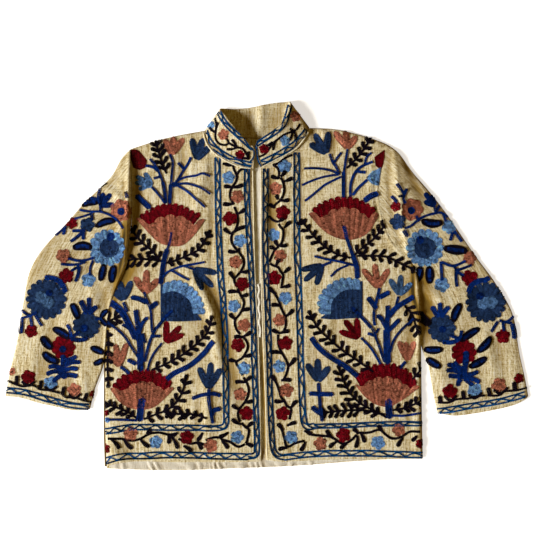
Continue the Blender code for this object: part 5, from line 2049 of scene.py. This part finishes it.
class JACKET_OT_cloth(bpy.types.Operator):
    """Make the cloth of every cut piece, and the cords of its seams and edges"""

    bl_idname = "jacket.cloth"
    bl_label = "Cloth"

    def execute(self, context):
        settings = context.scene.jacket
        group = handloom_group()
        materials = {
            finish: cloth_material(name, group, getattr(settings, colour), slubs, settings)
            for finish, (name, colour, slubs) in FINISHES.items()
        }
        for node, (finish, *_) in PANELS.items():
            make_panel(node, materials[finish], settings)
        for name, node, finish, *rest in CORDS:
            make_cord(name, node, materials[finish], *rest)
        return {"FINISHED"}


class JACKET_OT_embroidery(bpy.types.Operator):
    """Sew the embroidery on the fronts, the sleeves and the collar"""

    bl_idname = "jacket.embroidery"
    bl_label = "Embroidery"

    def execute(self, context):
        material = thread_material(floss_group())
        for seed, node in enumerate(EMBROIDERED):
            for part, steps in EMBROIDERY_PARTS.items():
                work = Needlework(context.scene.jacket, seed)
                for step in steps:
                    step(node, work)
                name = f"{node}_{part}"
                add_piece(name, sewn_mesh(name, work, node), material)
        return {"FINISHED"}


class JACKET_OT_sheets(bpy.types.Operator):
    """Gather the names of each panel's embroidery and cords; nothing is done with them"""

    bl_idname = "jacket.sheets"
    bl_label = "Cuts"

    def execute(self, context):
        for node, (_, flat, area, rests_on) in PANELS.items():
            names = [f"{node}_{part}" for part in EMBROIDERY_PARTS]
            names += [name for name, panel, *_ in CORDS if panel == node]
        return {"FINISHED"}


class JACKET_OT_stage(bpy.types.Operator):
    """Make the floor, the light, the surround and the camera"""

    bl_idname = "jacket.stage"
    bl_label = "Stage"

    def execute(self, context):
        settings = context.scene.jacket_stage
        make_floor()
        make_light(settings)
        make_surround()
        make_camera(settings)
        return {"FINISHED"}


class JACKET_PT_panel(bpy.types.Panel):
    """Lists the steps that make the jacket"""

    bl_idname = "JACKET_PT_panel"
    bl_label = "Suzani jacket"
    bl_space_type = "VIEW_3D"
    bl_region_type = "UI"
    bl_category = "Jacket"

    def draw(self, context):
        for step in (JACKET_OT_cloth, JACKET_OT_embroidery, JACKET_OT_sheets, JACKET_OT_stage):
            self.layout.operator(step.bl_idname)
        for settings in (context.scene.jacket, context.scene.jacket_stage):
            for name in settings.__annotations__:
                self.layout.prop(settings, name)


CLASSES = (
    JacketSettings,
    StageSettings,
    JACKET_OT_cloth,
    JACKET_OT_embroidery,
    JACKET_OT_sheets,
    JACKET_OT_stage,
    JACKET_PT_panel,
)


def register():
    """Adds the settings, the operators and the panel."""
    for cls in CLASSES:
        bpy.utils.register_class(cls)
    bpy.types.Scene.jacket = PointerProperty(type=JacketSettings)
    bpy.types.Scene.jacket_stage = PointerProperty(type=StageSettings)


def unregister():
    """Takes them away again."""
    del bpy.types.Scene.jacket_stage
    del bpy.types.Scene.jacket
    for cls in reversed(CLASSES):
        bpy.utils.unregister_class(cls)


def main():
    """Makes the whole jacket and its stage."""
    register()
    bpy.ops.jacket.cloth()
    bpy.ops.jacket.embroidery()
    bpy.ops.jacket.stage()
    bpy.ops.jacket.sheets()


if __name__ == "__main__":
    main()
